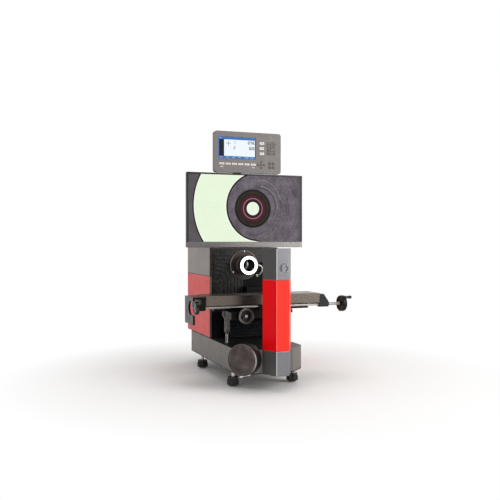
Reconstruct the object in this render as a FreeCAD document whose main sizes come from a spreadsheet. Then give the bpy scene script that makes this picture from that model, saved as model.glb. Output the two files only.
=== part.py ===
import FreeCAD, Part
import math
import os
import re

import Sketcher

# Horizontal profile projector: a column with a collimated lamp at the front, a lens and camera housing
# at the back, and between them a table that moves along X, Y (focus) and Z.
# Frame: X to the right along the table, Y from the column to the housing, Z up from the floor.
# The origin is the middle of the overall width and depth, on the floor.

SIZES = {
    # Places of the main planes
    "axis_x": (-53, "optical axis from the middle of the overall width"),
    "axis_high": (475, "optical axis above the floor"),
    "gap": (0.3, "clearance between pieces that move past each other"),
    "running": (0.05, "radial clearance of a shaft in its bore"),
    # Base casting
    "base_front": (-340, "front face of the base"),
    "base_rear": (330, "rear face of the base"),
    "base_left": (163, "left side of the base from the axis"),
    "base_right": (131, "right side of the base from the axis"),
    "base_cut": (64, "cut front corners of the base"),
    "base_low": (63, "underside of the base"),
    "base_top": (158, "top of the base"),
    "base_wall": (12, "wall of the base casting"),
    "base_bevel": (3, "bevel along the base's top edge"),
    # Levelling feet
    "foot_inset": (18, "foot axis from the base's side"),
    "foot_front": (-226, "front feet"),
    "foot_rear": (200, "rear feet"),
    "foot_stem": (7, "radius of a foot's stem"),
    "foot_boss": (14.5, "radius of the boss that a foot screws into"),
    "foot_deep": (40, "depth of a foot's bore"),
    "knob_wide": (24, "radius of a foot's knob"),
    "knob_low": (7, "underside of a foot's knob"),
    "knob_step": (27, "step between a knob's tiers"),
    "knob_top": (39, "top of a foot's knob"),
    "pad_wide": (16, "radius of a foot's pad"),
    # Rear housing
    "body_half": (160, "half width of the housing"),
    "body_lip": (42, "front edge of the side panels"),
    "body_wall": (52, "front wall of the housing frame"),
    "body_rear": (402, "rear face of the housing"),
    "body_top": (552, "top of the housing"),
    "frame_wall": (8, "wall of the housing frame"),
    "panel": (9, "thickness of the side panels"),
    "lid": (7, "thickness of the top plate"),
    "lid_round": (4, "corner radius of the top plate"),
    "red_top": (430, "top of the red panels"),
    "back_panel": (6, "thickness of the rear panel"),
    "inlet_side": (86, "middle of the mains inlet from the housing's side"),
    "inlet_wide": (28, "width of the mains inlet"),
    "switch_side": (55, "middle of the power switch from the housing's side"),
    "switch_wide": (14, "width of the power switch"),
    "inlet_low": (30, "mains inlet and power switch above the base"),
    "inlet_high": (22, "height of the mains inlet and the power switch"),
    # Lens and camera
    "flange_wide": (66, "radius of the lens flange"),
    "flange_front": (42, "front face of the lens flange"),
    "barrel_wide": (40, "radius of the lens barrel"),
    "barrel_front": (2, "front face of the lens barrel"),
    "flange_bolts": (60, "radius of the flange screws' circle"),
    "ring_wide": (42, "outer radius of the ring light"),
    "ring_bore": (27.5, "inner radius of the ring light"),
    "ring_front": (-24, "front face of the ring light"),
    "tube_wide": (36, "radius of the lens tube"),
    "tube_rear": (262, "rear end of the lens tube"),
    "camera_wide": (58, "side of the camera body"),
    "camera_long": (78, "length of the camera body"),
    "lead_wide": (2.5, "radius of the ring light's lead"),
    # Ribbed cover beside the lens
    "cover_low": (347, "lower edge of the ribbed cover"),
    "cover_top": (545, "top edge of the ribbed cover"),
    "cover_thick": (4, "thickness of the ribbed cover"),
    "rib_wide": (6, "width of a rib"),
    "rib_high": (5, "height of a rib"),
    "strip_low": (487, "lower edge of the cover's part right of the lens"),
    "rib_run": (66, "innermost rib's upright from the cover's left edge"),
    "rib_top": (445, "innermost rib's level run"),
    "rib_step": (15.6, "distance between ribs"),
    "rib_round": (52, "corner radius of the innermost rib"),
    # Front column
    "column_front": (-403, "front face of the column"),
    "column_x": (-4, "middle of the column from the axis"),
    "column_face": (26, "half width of the column's front face"),
    "column_half": (60, "half width of the column"),
    "column_deep": (62, "depth of the column's slanted faces"),
    "column_low": (62, "underside of the column"),
    "column_sheet": (3, "thickness of the column's covers"),
    "spine_half": (48, "half width of the spine behind the covers"),
    "plug_wide": (17.2, "radius of the round plug in the column"),
    "lamp_wide": (30, "radius of the lamp barrel"),
    "lamp_long": (70, "length of the lamp barrel"),
    # Vertical slide
    "rail_off": (50, "vertical rails from the axis"),
    "rail_wide": (20, "width of a vertical rail"),
    "rail_front": (34, "front face of the vertical rails"),
    "rail_top": (346, "upper end of the vertical rails"),
    "knee_half": (75, "half width of the carriage"),
    "knee_front": (-170, "front face of the carriage's knee"),
    "knee_low": (240, "underside of the carriage"),
    "knee_top": (290, "top of the knee"),
    "knee_back": (4, "front face of the carriage's upright plate"),
    "knee_rear": (40, "rear face of the carriage's upright plate"),
    "knee_high": (332, "top of the carriage's upright plate"),
    "tower_left": (2, "left edge of the carriage's tower from the axis"),
    "tower_top": (380, "top of the carriage's tower"),
    "bellows_half": (81, "half width of the bellows"),
    "bellows_front": (-6, "front of the bellows' folds"),
    "bellows_rear": (31, "rear of the bellows"),
    "fold_deep": (9, "depth of a fold"),
    "screw_x": (134, "elevating screw from the axis"),
    "screw_y": (-117, "elevating screw along Y"),
    "screw_wide": (6, "radius of the elevating screw"),
    "screw_top": (279, "upper end of the elevating screw"),
    "nut_wide": (11, "radius of the nut tube"),
    "nut_low": (196, "lower end of the nut tube"),
    "arm_low": (268, "underside of the arm that holds the nut tube"),
    # Disc handwheel
    "disc_x": (-117.5, "disc handwheel's shaft on the cut corner, from the axis"),
    "disc_high": (126, "disc handwheel's axis above the floor"),
    "disc_wide": (61.5, "radius of the disc handwheel"),
    "disc_deep": (50, "depth of the disc handwheel"),
    "disc_skin": (5, "wall of the disc handwheel"),
    "disc_gap": (6, "bearing flange between base and disc handwheel"),
    "shaft_wide": (9, "radius of the disc handwheel's shaft"),
    "lever_long": (42, "length of the lift lock lever"),
    # Focus slide
    "slide_half": (70, "half width of the cross slide"),
    "slide_rear": (-84, "rear face of the cross slide"),
    "focus_x": (-96, "focus handwheel from the axis"),
    "focus_high": (280, "focus handwheel's axis above the floor"),
    "focus_front": (-250, "front face of the focus handwheel"),
    "focus_wide": (31.5, "radius of the focus handwheel"),
    "box_front": (-225, "front face of the focus gearbox"),
    "box_left": (152, "left side of the focus gearbox from the axis"),
    "box_low": (263, "underside of the focus gearbox"),
    "box_top": (296, "top of the focus gearbox"),
    "guide_half": (209, "half length of the guide rail"),
    "guide_low": (297.5, "underside of the guide rail"),
    "guide_top": (307, "top of the guide rail"),
    "guide_front": (-176, "front face of the guide rail"),
    "guide_rear": (-146, "rear face of the guide rail"),
    # Table
    "table_half": (251, "half length of the table"),
    "table_front": (-204, "front face of the table"),
    "table_deep": (126, "depth of the table"),
    "table_top": (361, "top of the table"),
    "table_thick": (40, "thickness of the table"),
    "dove_wide": (24, "half width of the dovetail's neck"),
    "dove_high": (12, "height of the dovetail"),
    "slot_wide": (10, "width of the table's slots"),
    "slot_deep": (8, "depth of the table's slots"),
    "slot_off": (36, "slots from the middle of the table"),
    "hole_wide": (3, "radius of the table's fixing holes"),
    "hole_step": (100, "distance between fixing holes along the table"),
    "lead_high": (313, "lead screw above the floor"),
    "lead_y": (-186, "lead screw along Y"),
    "lead_round": (6.5, "radius of the lead screw"),
    "end_long": (44, "length of the right end bracket"),
    "left_long": (24, "length of the left end bracket"),
    "left_wheel": (26, "radius of the left handwheel"),
    "left_deep": (16, "depth of the left handwheel"),
    "guard_thick": (8, "thickness of the left handwheel's guard"),
    "guard_low": (247, "lower edge of the guard"),
    "guard_room": (21, "room for the left handwheel between bracket and guard"),
    "notch_wide": (28, "radius of the guard's finger notch"),
    "notch_deep": (50, "depth of the finger notch behind the lead screw"),
    "right_wheel": (34, "radius of the right handwheel"),
    "right_arm": (59, "lead screw between the right end bracket and its handwheel"),
    "right_deep": (20, "depth of the right handwheel"),
    "crank_out": (25, "crank handle from the lead screw's axis"),
    "crank_long": (36, "length of the crank handle"),
    # Monitor and readout
    "screen_x": (26.5, "middle of the monitor from the axis"),
    "screen_wide": (552, "width of the monitor"),
    "screen_low": (552.6, "underside of the monitor"),
    "screen_high": (330.9, "height of the monitor"),
    "screen_front": (86, "front face of the monitor"),
    "screen_deep": (24, "depth of the monitor's edge"),
    "screen_bulge": (44, "depth of the monitor at its middle"),
    "screen_edge": (7, "width of the monitor's frame"),
    "screen_chin": (25, "width of the monitor's lower frame"),
    "hinge_y": (148, "monitor's tilt axis along Y"),
    "hinge_high": (720, "monitor's tilt axis above the floor"),
    "readout_x": (33, "middle of the readout from the axis"),
    "readout_wide": (318, "width of the readout"),
    "readout_high": (183, "height of the readout"),
    "readout_low": (886.5, "underside of the readout"),
    "readout_front": (80, "front face of the readout"),
    "readout_deep": (26, "depth of the readout"),
    "readout_round": (12, "corner radius of the readout"),
    "readout_tilt": (975, "readout's tilt axis above the floor"),
    "lcd_left": (18, "left edge of the readout's display from its left side"),
    "lcd_wide": (178, "width of the readout's display"),
    "lcd_low": (62, "lower edge of the readout's display above its underside"),
    "lcd_high": (97, "height of the readout's display"),
    "key_out": (1.6, "height of the keys above the readout"),
    "key_deep": (4, "depth of the keys' pockets"),
}

WORDS = re.compile(r"[a-z][a-z_]*")
SHEET = "dims"
BORE = 0.7071067811865476

doc = FreeCAD.newDocument("projector")
sheet = doc.addObject("Spreadsheet::Sheet", SHEET)
for row, (word, (size, meaning)) in enumerate(SIZES.items(), start=1):
    sheet.set(f"A{row}", word)
    sheet.set(f"B{row}", str(size))
    sheet.setAlias(f"B{row}", word)
    sheet.set(f"C{row}", meaning)
doc.recompute()

pieces = {}

ACROSS = FreeCAD.Rotation(FreeCAD.Vector(0, 1, 0), 90)
BACK = FreeCAD.Rotation(FreeCAD.Vector(1, 0, 0), -90)
UP = FreeCAD.Rotation()


def formula(text):
    """Names of sizes become references to the sheet."""
    return WORDS.sub(lambda m: f"{SHEET}.{m.group(0)}" if m.group(0) in SIZES else m.group(0), str(text))


def bind(thing, prop, text):
    thing.setExpression(prop, formula(text))


def put(thing, at, turn=UP):
    """Placement with a fixed turn and a bound position."""
    thing.Placement = FreeCAD.Placement(FreeCAD.Vector(), turn)
    for letter, text in zip("xyz", at):
        bind(thing, f"Placement.Base.{letter}", text)
    return thing


def keep(name, thing):
    """Marks a finished piece; its label names its file."""
    thing.Label = name
    pieces[name] = thing
    return thing


def block(x, y, z):
    """Box between two planes along each axis."""
    box = doc.addObject("Part::Box", "block")
    for prop, (low, high) in zip(("Length", "Width", "Height"), (x, y, z)):
        bind(box, prop, f"({high}) - ({low})")
    return put(box, (x[0], y[0], z[0]))


def rod(radius, length, at, turn=UP):
    """Cylinder from a point along +Z, +X (ACROSS) or +Y (BACK)."""
    cylinder = doc.addObject("Part::Cylinder", "rod")
    bind(cylinder, "Radius", radius)
    bind(cylinder, "Height", length)
    return put(cylinder, at, turn)


def join(*things):
    fused = doc.addObject("Part::MultiFuse", "join")
    fused.Shapes = list(things)
    fused.Refine = True
    return fused


def group(*things):
    """Separate solids in one piece."""
    several = doc.addObject("Part::Compound", "group")
    several.Links = list(things)
    return several


def cut(base, *tools):
    result = doc.addObject("Part::Cut", "cut")
    result.Base = base
    result.Tool = tools[0] if len(tools) == 1 else join(*tools)
    return result


def copy_of(thing, at, turn=UP):
    """Linked copy of a shape at another place."""
    link = doc.addObject("App::Link", "copy")
    link.LinkedObject = thing
    return put(link, at, turn)


def sketch_on(body, plane, height):
    sketch = body.newObject("Sketcher::SketchObject", "sketch")
    support = [f for f in body.Origin.OriginFeatures if f.Role == plane][0]
    sketch.AttachmentSupport = (support, [""])
    sketch.MapMode = "FlatFace"
    bind(sketch, "AttachmentOffset.Base.z", height)
    return sketch


def pin_point(sketch, edge, point, x, y):
    for kind, text in (("DistanceX", x), ("DistanceY", y)):
        number = sketch.addConstraint(Sketcher.Constraint(kind, -1, 1, edge, point, 1.0))
        bind(sketch, f"Constraints[{number}]", text)


def outline(sketch, corners):
    """Closed polygon whose corners are bound to the sheet."""
    first = sketch.GeometryCount
    count = len(corners)
    start = [
        FreeCAD.Vector(math.cos(2 * math.pi * k / count), math.sin(2 * math.pi * k / count), 0)
        for k in range(count)
    ]
    sides = [Part.LineSegment(start[k], start[(k + 1) % count]) for k in range(count)]
    sketch.addGeometry(sides, False)
    for k in range(count):
        sketch.addConstraint(Sketcher.Constraint("Coincident", first + k, 2, first + (k + 1) % count, 1))
    for k, (x, y) in enumerate(corners):
        pin_point(sketch, first + k, 1, x, y)


def circle(sketch, x, y, radius):
    edge = sketch.addGeometry(Part.Circle(FreeCAD.Vector(), FreeCAD.Vector(0, 0, 1), 1), False)
    pin_point(sketch, edge, 3, x, y)
    number = sketch.addConstraint(Sketcher.Constraint("Radius", edge, 1.0))
    bind(sketch, f"Constraints[{number}]", radius)


def rectangle(x, y):
    return [(x[0], y[0]), (x[1], y[0]), (x[1], y[1]), (x[0], y[1])]


def prism(plane, span, loops=(), circles=()):
    """Body padded from outlines on XY_Plane, XZ_Plane (X, Z) or YZ_Plane (Y, Z) over a span of the normal."""
    body = doc.addObject("PartDesign::Body", "body")
    low, high = span
    sketch = sketch_on(body, plane, f"-({high})" if plane == "XZ_Plane" else low)
    for corners in loops:
        outline(sketch, corners)
    for spot in circles:
        circle(sketch, *spot)
    pad = body.newObject("PartDesign::Pad", "pad")
    pad.Profile = sketch
    bind(pad, "Length", f"({high}) - ({low})")
    sketch.Visibility = False
    return body


def turned(profile, at, turn=UP):
    """Body revolved about its own Z axis from corners given as (radius, height)."""
    body = doc.addObject("PartDesign::Body", "body")
    sketch = sketch_on(body, "XZ_Plane", 0)
    outline(sketch, profile)
    revolution = body.newObject("PartDesign::Revolution", "revolution")
    revolution.Profile = sketch
    revolution.ReferenceAxis = (sketch, ["V_Axis"])
    revolution.Angle = 360
    return put(body, at, turn)


def straight_edges(shape, direction, wanted):
    """Names of straight edges along a direction whose midpoint is wanted."""
    names = []
    for number, edge in enumerate(shape.Edges, start=1):
        if isinstance(edge.Curve, Part.Line) and abs(edge.Curve.Direction.dot(direction)) > 0.999:
            if wanted(edge.CenterOfMass):
                names.append(f"Edge{number}")
    return names


def dress(body, kind, size, direction, wanted=lambda middle: True):
    """Fillet or chamfer along straight edges of a body's tip."""
    doc.recompute()
    base = body.Tip
    feature = body.newObject(f"PartDesign::{kind}", kind.lower())
    feature.Base = (base, straight_edges(base.Shape, direction, wanted))
    bind(feature, "Radius" if kind == "Fillet" else "Size", size)
    return body


ALONG_X = FreeCAD.Vector(1, 0, 0)
ALONG_Y = FreeCAD.Vector(0, 1, 0)
ALONG_Z = FreeCAD.Vector(0, 0, 1)
LEFT = "axis_x - base_left"
RIGHT = "axis_x + base_right"
COVER_HALF = "(body_half - panel - 1)"
RIB_LEFT = f"({COVER_HALF} - rib_run)"


def around(half):
    """Span of a half width about the optical axis."""
    return f"axis_x - {half}", f"axis_x + {half}"


def base_outline(inset):
    """Plan of the base with its cut front corners, moved inwards by an inset."""
    slack = f"base_cut + ({inset}) * 0.4142"
    left, right = f"{LEFT} + {inset}", f"{RIGHT} - {inset}"
    front, rear = f"base_front + {inset}", f"base_rear - {inset}"
    corner = f"({slack} - {inset})"
    return [
        (f"{left} + {corner}", front),
        (f"{right} - {corner}", front),
        (right, f"{front} + {corner}"),
        (right, rear),
        (left, rear),
        (left, f"{front} + {corner}"),
    ]


FEET = {
    "front_left": (f"{LEFT} + foot_inset", "foot_front"),
    "front_right": (f"{RIGHT} - foot_inset", "foot_front"),
    "rear_left": (f"{LEFT} + foot_inset", "foot_rear"),
    "rear_right": (f"{RIGHT} - foot_inset", "foot_rear"),
}

# The disc handwheel's shaft stands square on the cut left corner
DISC_X = "axis_x + disc_x"
DISC_Y = "base_front + base_cut - base_left - disc_x"
DIAGONAL = FreeCAD.Rotation(FreeCAD.Vector(0, 0, 1), FreeCAD.Vector(-1, -1, 0))


def outwards(distance):
    """Point on the disc handwheel's axis, a distance outside the cut corner."""
    return (f"{DISC_X} - ({distance}) * {BORE}", f"{DISC_Y} - ({distance}) * {BORE}", "disc_high")


def build_base():
    shell = prism("XY_Plane", ("base_low", "base_top"), [base_outline("0")])
    dress(shell, "Fillet", "base_bevel * 2", ALONG_Z)
    inside = prism("XY_Plane", ("base_low", "base_top - base_wall"), [base_outline("base_wall")])
    bosses = [rod("foot_boss", "foot_deep + 6", (x, y, "base_low")) for x, y in FEET.values()]
    bores = [rod("foot_stem + running", "foot_deep", (x, y, "base_low")) for x, y in FEET.values()]
    neck = rod("shaft_wide + 10", "30", outwards("-50 + base_wall"), DIAGONAL)
    journal = rod("shaft_wide + running", "120", outwards("-80"), DIAGONAL)
    below = "base_top - base_wall - 14"
    seat = rod("screw_wide + 9", "base_wall + 14", ("axis_x - screw_x", "screw_y", below))
    hole = rod("screw_wide + running", "60", ("axis_x - screw_x", "screw_y", "base_top - 20"))
    pivot = rod("3 + running", "14", (*outwards("-base_wall / 2")[:2], "base_low - 1"))
    hollow = cut(shell, inside)
    keep("base_casting", cut(join(hollow, *bosses, neck, seat), *bores, journal, hole, pivot))


def lobed_knob(low, high, radius):
    """Knob with six finger hollows cut round its rim."""
    body = prism("XY_Plane", (low, high), circles=[("0", "0", radius), ("0", "0", "foot_stem + running")])
    sketch = sketch_on(body, "XY_Plane", high)
    circle(sketch, f"{radius} + 5", "0", "9")
    pocket = body.newObject("PartDesign::Pocket", "hollow")
    pocket.Profile = sketch
    bind(pocket, "Length", f"({high}) - ({low})")
    doc.recompute()
    pattern = body.newObject("PartDesign::PolarPattern", "hollows")
    pattern.Originals = [pocket]
    pattern.Axis = (sketch, ["N_Axis"])
    pattern.Angle = 360
    pattern.Occurrences = 6
    body.Tip = pattern
    return body


def build_feet():
    lower = lobed_knob("knob_low", "knob_step", "knob_wide")
    upper = lobed_knob("knob_step", "knob_top", "knob_wide - 2.5")
    knob = join(lower, upper)
    stem = turned(
        [
            ("0", "0"),
            ("pad_wide", "0"),
            ("pad_wide", "3"),
            ("foot_stem + 2", "knob_low"),
            ("foot_stem", "knob_low"),
            ("foot_stem", "base_low + foot_deep - 3"),
            ("0", "base_low + foot_deep - 3"),
        ],
        ("0", "0", "0"),
    )
    for name, (x, y) in FEET.items():
        keep(f"foot_{name}", group(copy_of(knob, (x, y, "0")), copy_of(stem, (x, y, "0"))))


def build_housing():
    inner = "(body_half - panel)"
    low, high = "base_top", "body_top - lid"
    rear = "body_rear - back_panel"
    outer = block(around(inner), ("body_wall", rear), (low, high))
    inside = block(
        around(f"({inner} - frame_wall)"),
        ("body_wall + frame_wall", "body_rear"),
        (f"{low} + frame_wall", f"{high} - frame_wall"),
    )
    bore = rod("tube_wide + 4", "frame_wall * 3", ("axis_x", "body_wall - frame_wall", "axis_high"), BACK)
    keep("housing_frame", cut(outer, inside, bore))

    sides = {"upper": ("red_top", "body_top"), "lower": ("base_top", "red_top - gap")}
    for level, span in sides.items():
        slabs = []
        for side in ("-", "+"):
            near = f"axis_x {side} {inner}"
            far = f"axis_x {side} body_half"
            x = (far, near) if side == "-" else (near, far)
            slabs.append(block(x, ("body_lip", "body_rear"), span))
        keep(f"side_panels_{level}", group(*slabs))

    lid = prism(
        "XY_Plane",
        ("body_top - lid", "body_top"),
        [rectangle(around(inner), ("body_lip", "body_rear"))],
    )
    dress(lid, "Fillet", "lid_round", ALONG_Z)
    keep("top_plate", lid)

    vents = [
        rectangle(
            (f"axis_x - {inner} + 30 + {number} * 14", f"axis_x - {inner} + 36 + {number} * 14"),
            ("base_top + 250", "base_top + 330"),
        )
        for number in range(8)
    ]
    low_edge = "base_top + inlet_low"
    top_edge = f"{low_edge} + inlet_high"
    inlet_x, switch_x = "axis_x + body_half - inlet_side", "axis_x + body_half - switch_side"
    inlet_left, inlet_right = f"{inlet_x} - inlet_wide / 2", f"{inlet_x} + inlet_wide / 2"
    switch_left, switch_right = f"{switch_x} - switch_wide / 2", f"{switch_x} + switch_wide / 2"
    inlet = rectangle((inlet_left, inlet_right), (low_edge, top_edge))
    switch = rectangle((switch_left, switch_right), (low_edge, top_edge))
    plate = rectangle(around(inner), (low, high))
    keep("rear_panel", prism("XZ_Plane", (rear, "body_rear"), [plate, inlet, switch, *vents]))

    socket = block((inlet_left, inlet_right), (f"{rear} - 18", "body_rear"), (low_edge, top_edge))
    mouth = block(
        (f"{inlet_left} + 3", f"{inlet_right} - 3"),
        ("body_rear - 16", "body_rear + 1"),
        (f"{low_edge} + 3", f"{top_edge} - 3"),
    )
    pins = [
        block(
            (f"{inlet_x} + ({x}) - 1", f"{inlet_x} + ({x}) + 1"),
            ("body_rear - 16", "body_rear - 3"),
            (f"{low_edge} + 9", f"{low_edge} + 13"),
        )
        for x in (-7, 0, 7)
    ]
    keep("power_inlet", join(cut(socket, mouth), *pins))

    pivot = "body_rear - 5"
    middle = f"{low_edge} + inlet_high / 2"
    rocker = prism(
        "YZ_Plane",
        (f"{switch_left} + 0.5", f"{switch_right} - 0.5"),
        [
            [
                (pivot, f"{low_edge} + 2"),
                ("body_rear + 0.5", f"{low_edge} + 2"),
                ("body_rear + 0.5", middle),
                ("body_rear + 3", f"{top_edge} - 2"),
                (pivot, f"{top_edge} - 2"),
            ]
        ],
    )
    barrel = rod("4", "switch_wide - 1", (f"{switch_left} + 0.5", pivot, middle), ACROSS)
    keep("power_switch", join(rocker, barrel))


def build_optics():
    place = ("axis_x", "0", "axis_high")
    keep(
        "lens_flange",
        turned(
            [
                ("barrel_wide + gap", "flange_front"),
                ("flange_wide - 4", "flange_front"),
                ("flange_wide", "flange_front + 2"),
                ("flange_wide", "body_wall"),
                ("tube_wide + 0.2", "body_wall"),
                ("tube_wide + 0.2", "body_wall - 3"),
                ("barrel_wide + gap", "body_wall - 3"),
            ],
            place,
            BACK,
        ),
    )
    screws = []
    for degrees in (0, 120, 240):
        x = f"axis_x + flange_bolts * {math.sin(math.radians(degrees)):.4f}"
        z = f"axis_high + flange_bolts * {math.cos(math.radians(degrees)):.4f}"
        screws.append(rod("3.2", "3", (x, "flange_front - 3", z), BACK))
    keep("flange_screws", group(*screws))

    keep(
        "lens_barrel",
        turned(
            [
                ("ring_bore + 2", "barrel_front - 8"),
                ("ring_wide - 7", "barrel_front - 8"),
                ("ring_wide - 7", "barrel_front"),
                ("barrel_wide", "barrel_front"),
                ("barrel_wide", "18"),
                ("barrel_wide - 2", "19"),
                ("barrel_wide - 2", "24"),
                ("barrel_wide", "25"),
                ("barrel_wide", "body_wall - 3"),
                ("ring_bore + 4", "body_wall - 3"),
                ("ring_bore + 4", "12"),
                ("ring_bore + 2", "10"),
            ],
            place,
            BACK,
        ),
    )
    keep(
        "lens_glass",
        turned(
            [("0", "8"), ("ring_bore + 4", "12"), ("ring_bore + 4", "16"), ("0", "18")],
            place,
            BACK,
        ),
    )
    keep(
        "lens_tube",
        turned(
            [
                ("tube_wide - 6", "body_wall - 3"),
                ("tube_wide", "body_wall - 3"),
                ("tube_wide", "150"),
                ("tube_wide - 12", "180"),
                ("tube_wide - 12", "tube_rear"),
                ("tube_wide - 20", "tube_rear"),
                ("tube_wide - 20", "182"),
                ("tube_wide - 6", "152"),
            ],
            place,
            BACK,
        ),
    )
    box = block(
        ("axis_x - camera_wide / 2", "axis_x + camera_wide / 2"),
        ("tube_rear", "tube_rear + camera_long"),
        ("axis_high - camera_wide / 2", "axis_high + camera_wide / 2"),
    )
    keep("camera", cut(box, rod("tube_wide - 20", "14", ("axis_x", "tube_rear", "axis_high"), BACK)))

    ring = turned(
        [
            ("ring_bore", "ring_front + 4"),
            ("ring_wide - 2", "ring_front + 4"),
            ("ring_wide", "ring_front + 6"),
            ("ring_wide", "barrel_front"),
            ("ring_wide - 7", "barrel_front"),
            ("ring_wide - 7", "barrel_front - 8"),
            ("ring_bore", "barrel_front - 8"),
        ],
        place,
        BACK,
    )
    boss = rod("lead_wide + 1.7", "7", ("axis_x + ring_wide - 3", "-6", "axis_high"), ACROSS)
    keep("ring_light_body", join(ring, boss))
    keep(
        "ring_light_diffuser",
        turned(
            [
                ("ring_bore", "ring_front + 4"),
                ("ring_bore", "ring_front + 3"),
                ("ring_bore + 3", "ring_front"),
                ("ring_wide - 5", "ring_front"),
                ("ring_wide - 2", "ring_front + 4"),
            ],
            place,
            BACK,
        ),
    )


# Bends of the ring light's lead, from its boss to its gland, as offsets from the optical axis
LEAD_ROUTE = [
    (46, -6, 0),
    (58, -6, -1),
    (67, -4, -9),
    (71, 0, -21),
    (69, 9, -32),
    (66, 21, -41),
    (64, 37, -48),
    (64, 52, -48),
]


def build_lead():
    """Ring light's lead: straight runs joined by tangent arcs, from the ring to its gland on the wall."""
    axis = FreeCAD.Vector(sheet.axis_x, 0, sheet.axis_high)
    points = [axis + FreeCAD.Vector(*point) for point in LEAD_ROUTE]
    edges = []
    radii = []
    start = points[0]
    for before, here, after in zip(points, points[1:], points[2:]):
        arrive, leave = here - before, after - here
        turn = arrive.getAngle(leave)
        trim = 0.45 * min(arrive.Length, leave.Length)
        radius = trim / math.tan(turn / 2)
        radii.append(round(radius, 1))
        first = here - arrive.normalize() * trim
        last = here + leave.normalize() * trim
        inward = (first - here).normalize() + (last - here).normalize()
        centre = here + inward.normalize() * math.hypot(trim, radius)
        middle = centre + (here - centre).normalize() * radius
        edges.append(Part.LineSegment(start, first).toShape())
        edges.append(Part.Arc(first, middle, last).toShape())
        start = last
    edges.append(Part.LineSegment(start, points[-1]).toShape())
    path = Part.Wire(edges)
    ring = Part.Circle(points[0], points[1] - points[0], float(sheet.lead_wide)).toShape()
    lead = doc.addObject("Part::Feature", "lead")
    lead.Shape = path.makePipeShell([Part.Wire([ring])], True, False)
    x, _, z = LEAD_ROUTE[-1]
    gland = rod("lead_wide + 3", "5", (f"axis_x + {x}", "body_wall - 5", f"axis_high + ({z})"), BACK)
    passage = rod("lead_wide", "7", (f"axis_x + {x}", "body_wall - 6", f"axis_high + ({z})"), BACK)
    keep("ring_light_lead", lead)
    keep("lead_gland", cut(gland, passage))
    print("lead: radii", radii, "length", round(path.Length, 1))


def rib(number):
    """Rib number of the cover: a level run from the left, a large round corner and an upright."""
    right = f"axis_x - {RIB_LEFT} + {number} * rib_step"
    top = f"rib_top + {number} * rib_step"
    left = f"axis_x - {COVER_HALF} + {rib_inset(number)}"
    front = "body_wall - cover_thick - rib_high"
    body = prism(
        "XZ_Plane",
        (front, "body_wall - cover_thick"),
        [
            [
                (left, top),
                (left, f"{top} - rib_wide"),
                (f"{right} - rib_wide", f"{top} - rib_wide"),
                (f"{right} - rib_wide", "cover_low"),
                (right, "cover_low"),
                (right, top),
            ]
        ],
    )
    doc.recompute()
    box = body.Shape.BoundBox

    def outside(middle):
        return middle.x > box.XMax - 0.1 and middle.z > box.ZMax - 0.1

    def inside(middle):
        return box.XMin + 0.1 < middle.x < box.XMax - 0.1 and box.ZMin + 0.1 < middle.z < box.ZMax - 0.1

    dress(body, "Fillet", f"rib_round + {number} * 2", ALONG_Y, outside)
    dress(body, "Fillet", f"rib_round + {number} * 2 - rib_wide", ALONG_Y, inside)
    return body


def rib_inset(number):
    """Left end of a rib from the cover's left edge: the upper ribs are nested in the corner."""
    return (5 - number) * 12 if number > 2 else 12


def build_ribbed_cover():
    back = ("body_wall - cover_thick", "body_wall")
    deep = ("body_wall - cover_thick - rib_high", "body_wall - cover_thick")
    left, right = around(COVER_HALF)
    plate = block((left, f"axis_x - {RIB_LEFT} + 5 * rib_step"), back, ("cover_low", "cover_top"))
    strip = block((f"axis_x - {RIB_LEFT}", right), back, ("strip_low", "cover_top"))
    ribs = [rib(number) for number in range(6)]
    for number in (3, 4, 5):
        top = f"rib_top + {number} * rib_step"
        ribs.append(block((f"axis_x + {RIB_LEFT} / 2", right), deep, (f"{top} - rib_wide", top)))
    for number, drop in ((4, 3), (5, 6)):
        start = f"{left} + {rib_inset(number)}"
        top = f"rib_top + {number} * rib_step"
        ribs.append(block((start, f"{start} + rib_wide"), deep, (f"{top} - {drop} * rib_step", top)))
    around_lens = rod("flange_wide + gap", "40", ("axis_x", "body_wall - 30", "axis_high"), BACK)
    keep("ribbed_cover", cut(join(plate, strip, *ribs), around_lens))


def column_outline(inset):
    """Plan of the column: a front face and two slanted faces, moved inwards by an inset."""
    slant = "sqrt((column_half - column_face)^2 + column_deep^2)"
    front_half = f"column_face - {inset} * ({slant} - (column_half - column_face)) / column_deep"
    rear_half = f"column_half - {inset} * {slant} / column_deep"
    rear = "column_front + column_deep"
    return [
        (f"axis_x + column_x - ({rear_half})", rear),
        (f"axis_x + column_x - ({front_half})", f"column_front + {inset}"),
        (f"axis_x + column_x + ({front_half})", f"column_front + {inset}"),
        (f"axis_x + column_x + ({rear_half})", rear),
    ]


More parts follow.
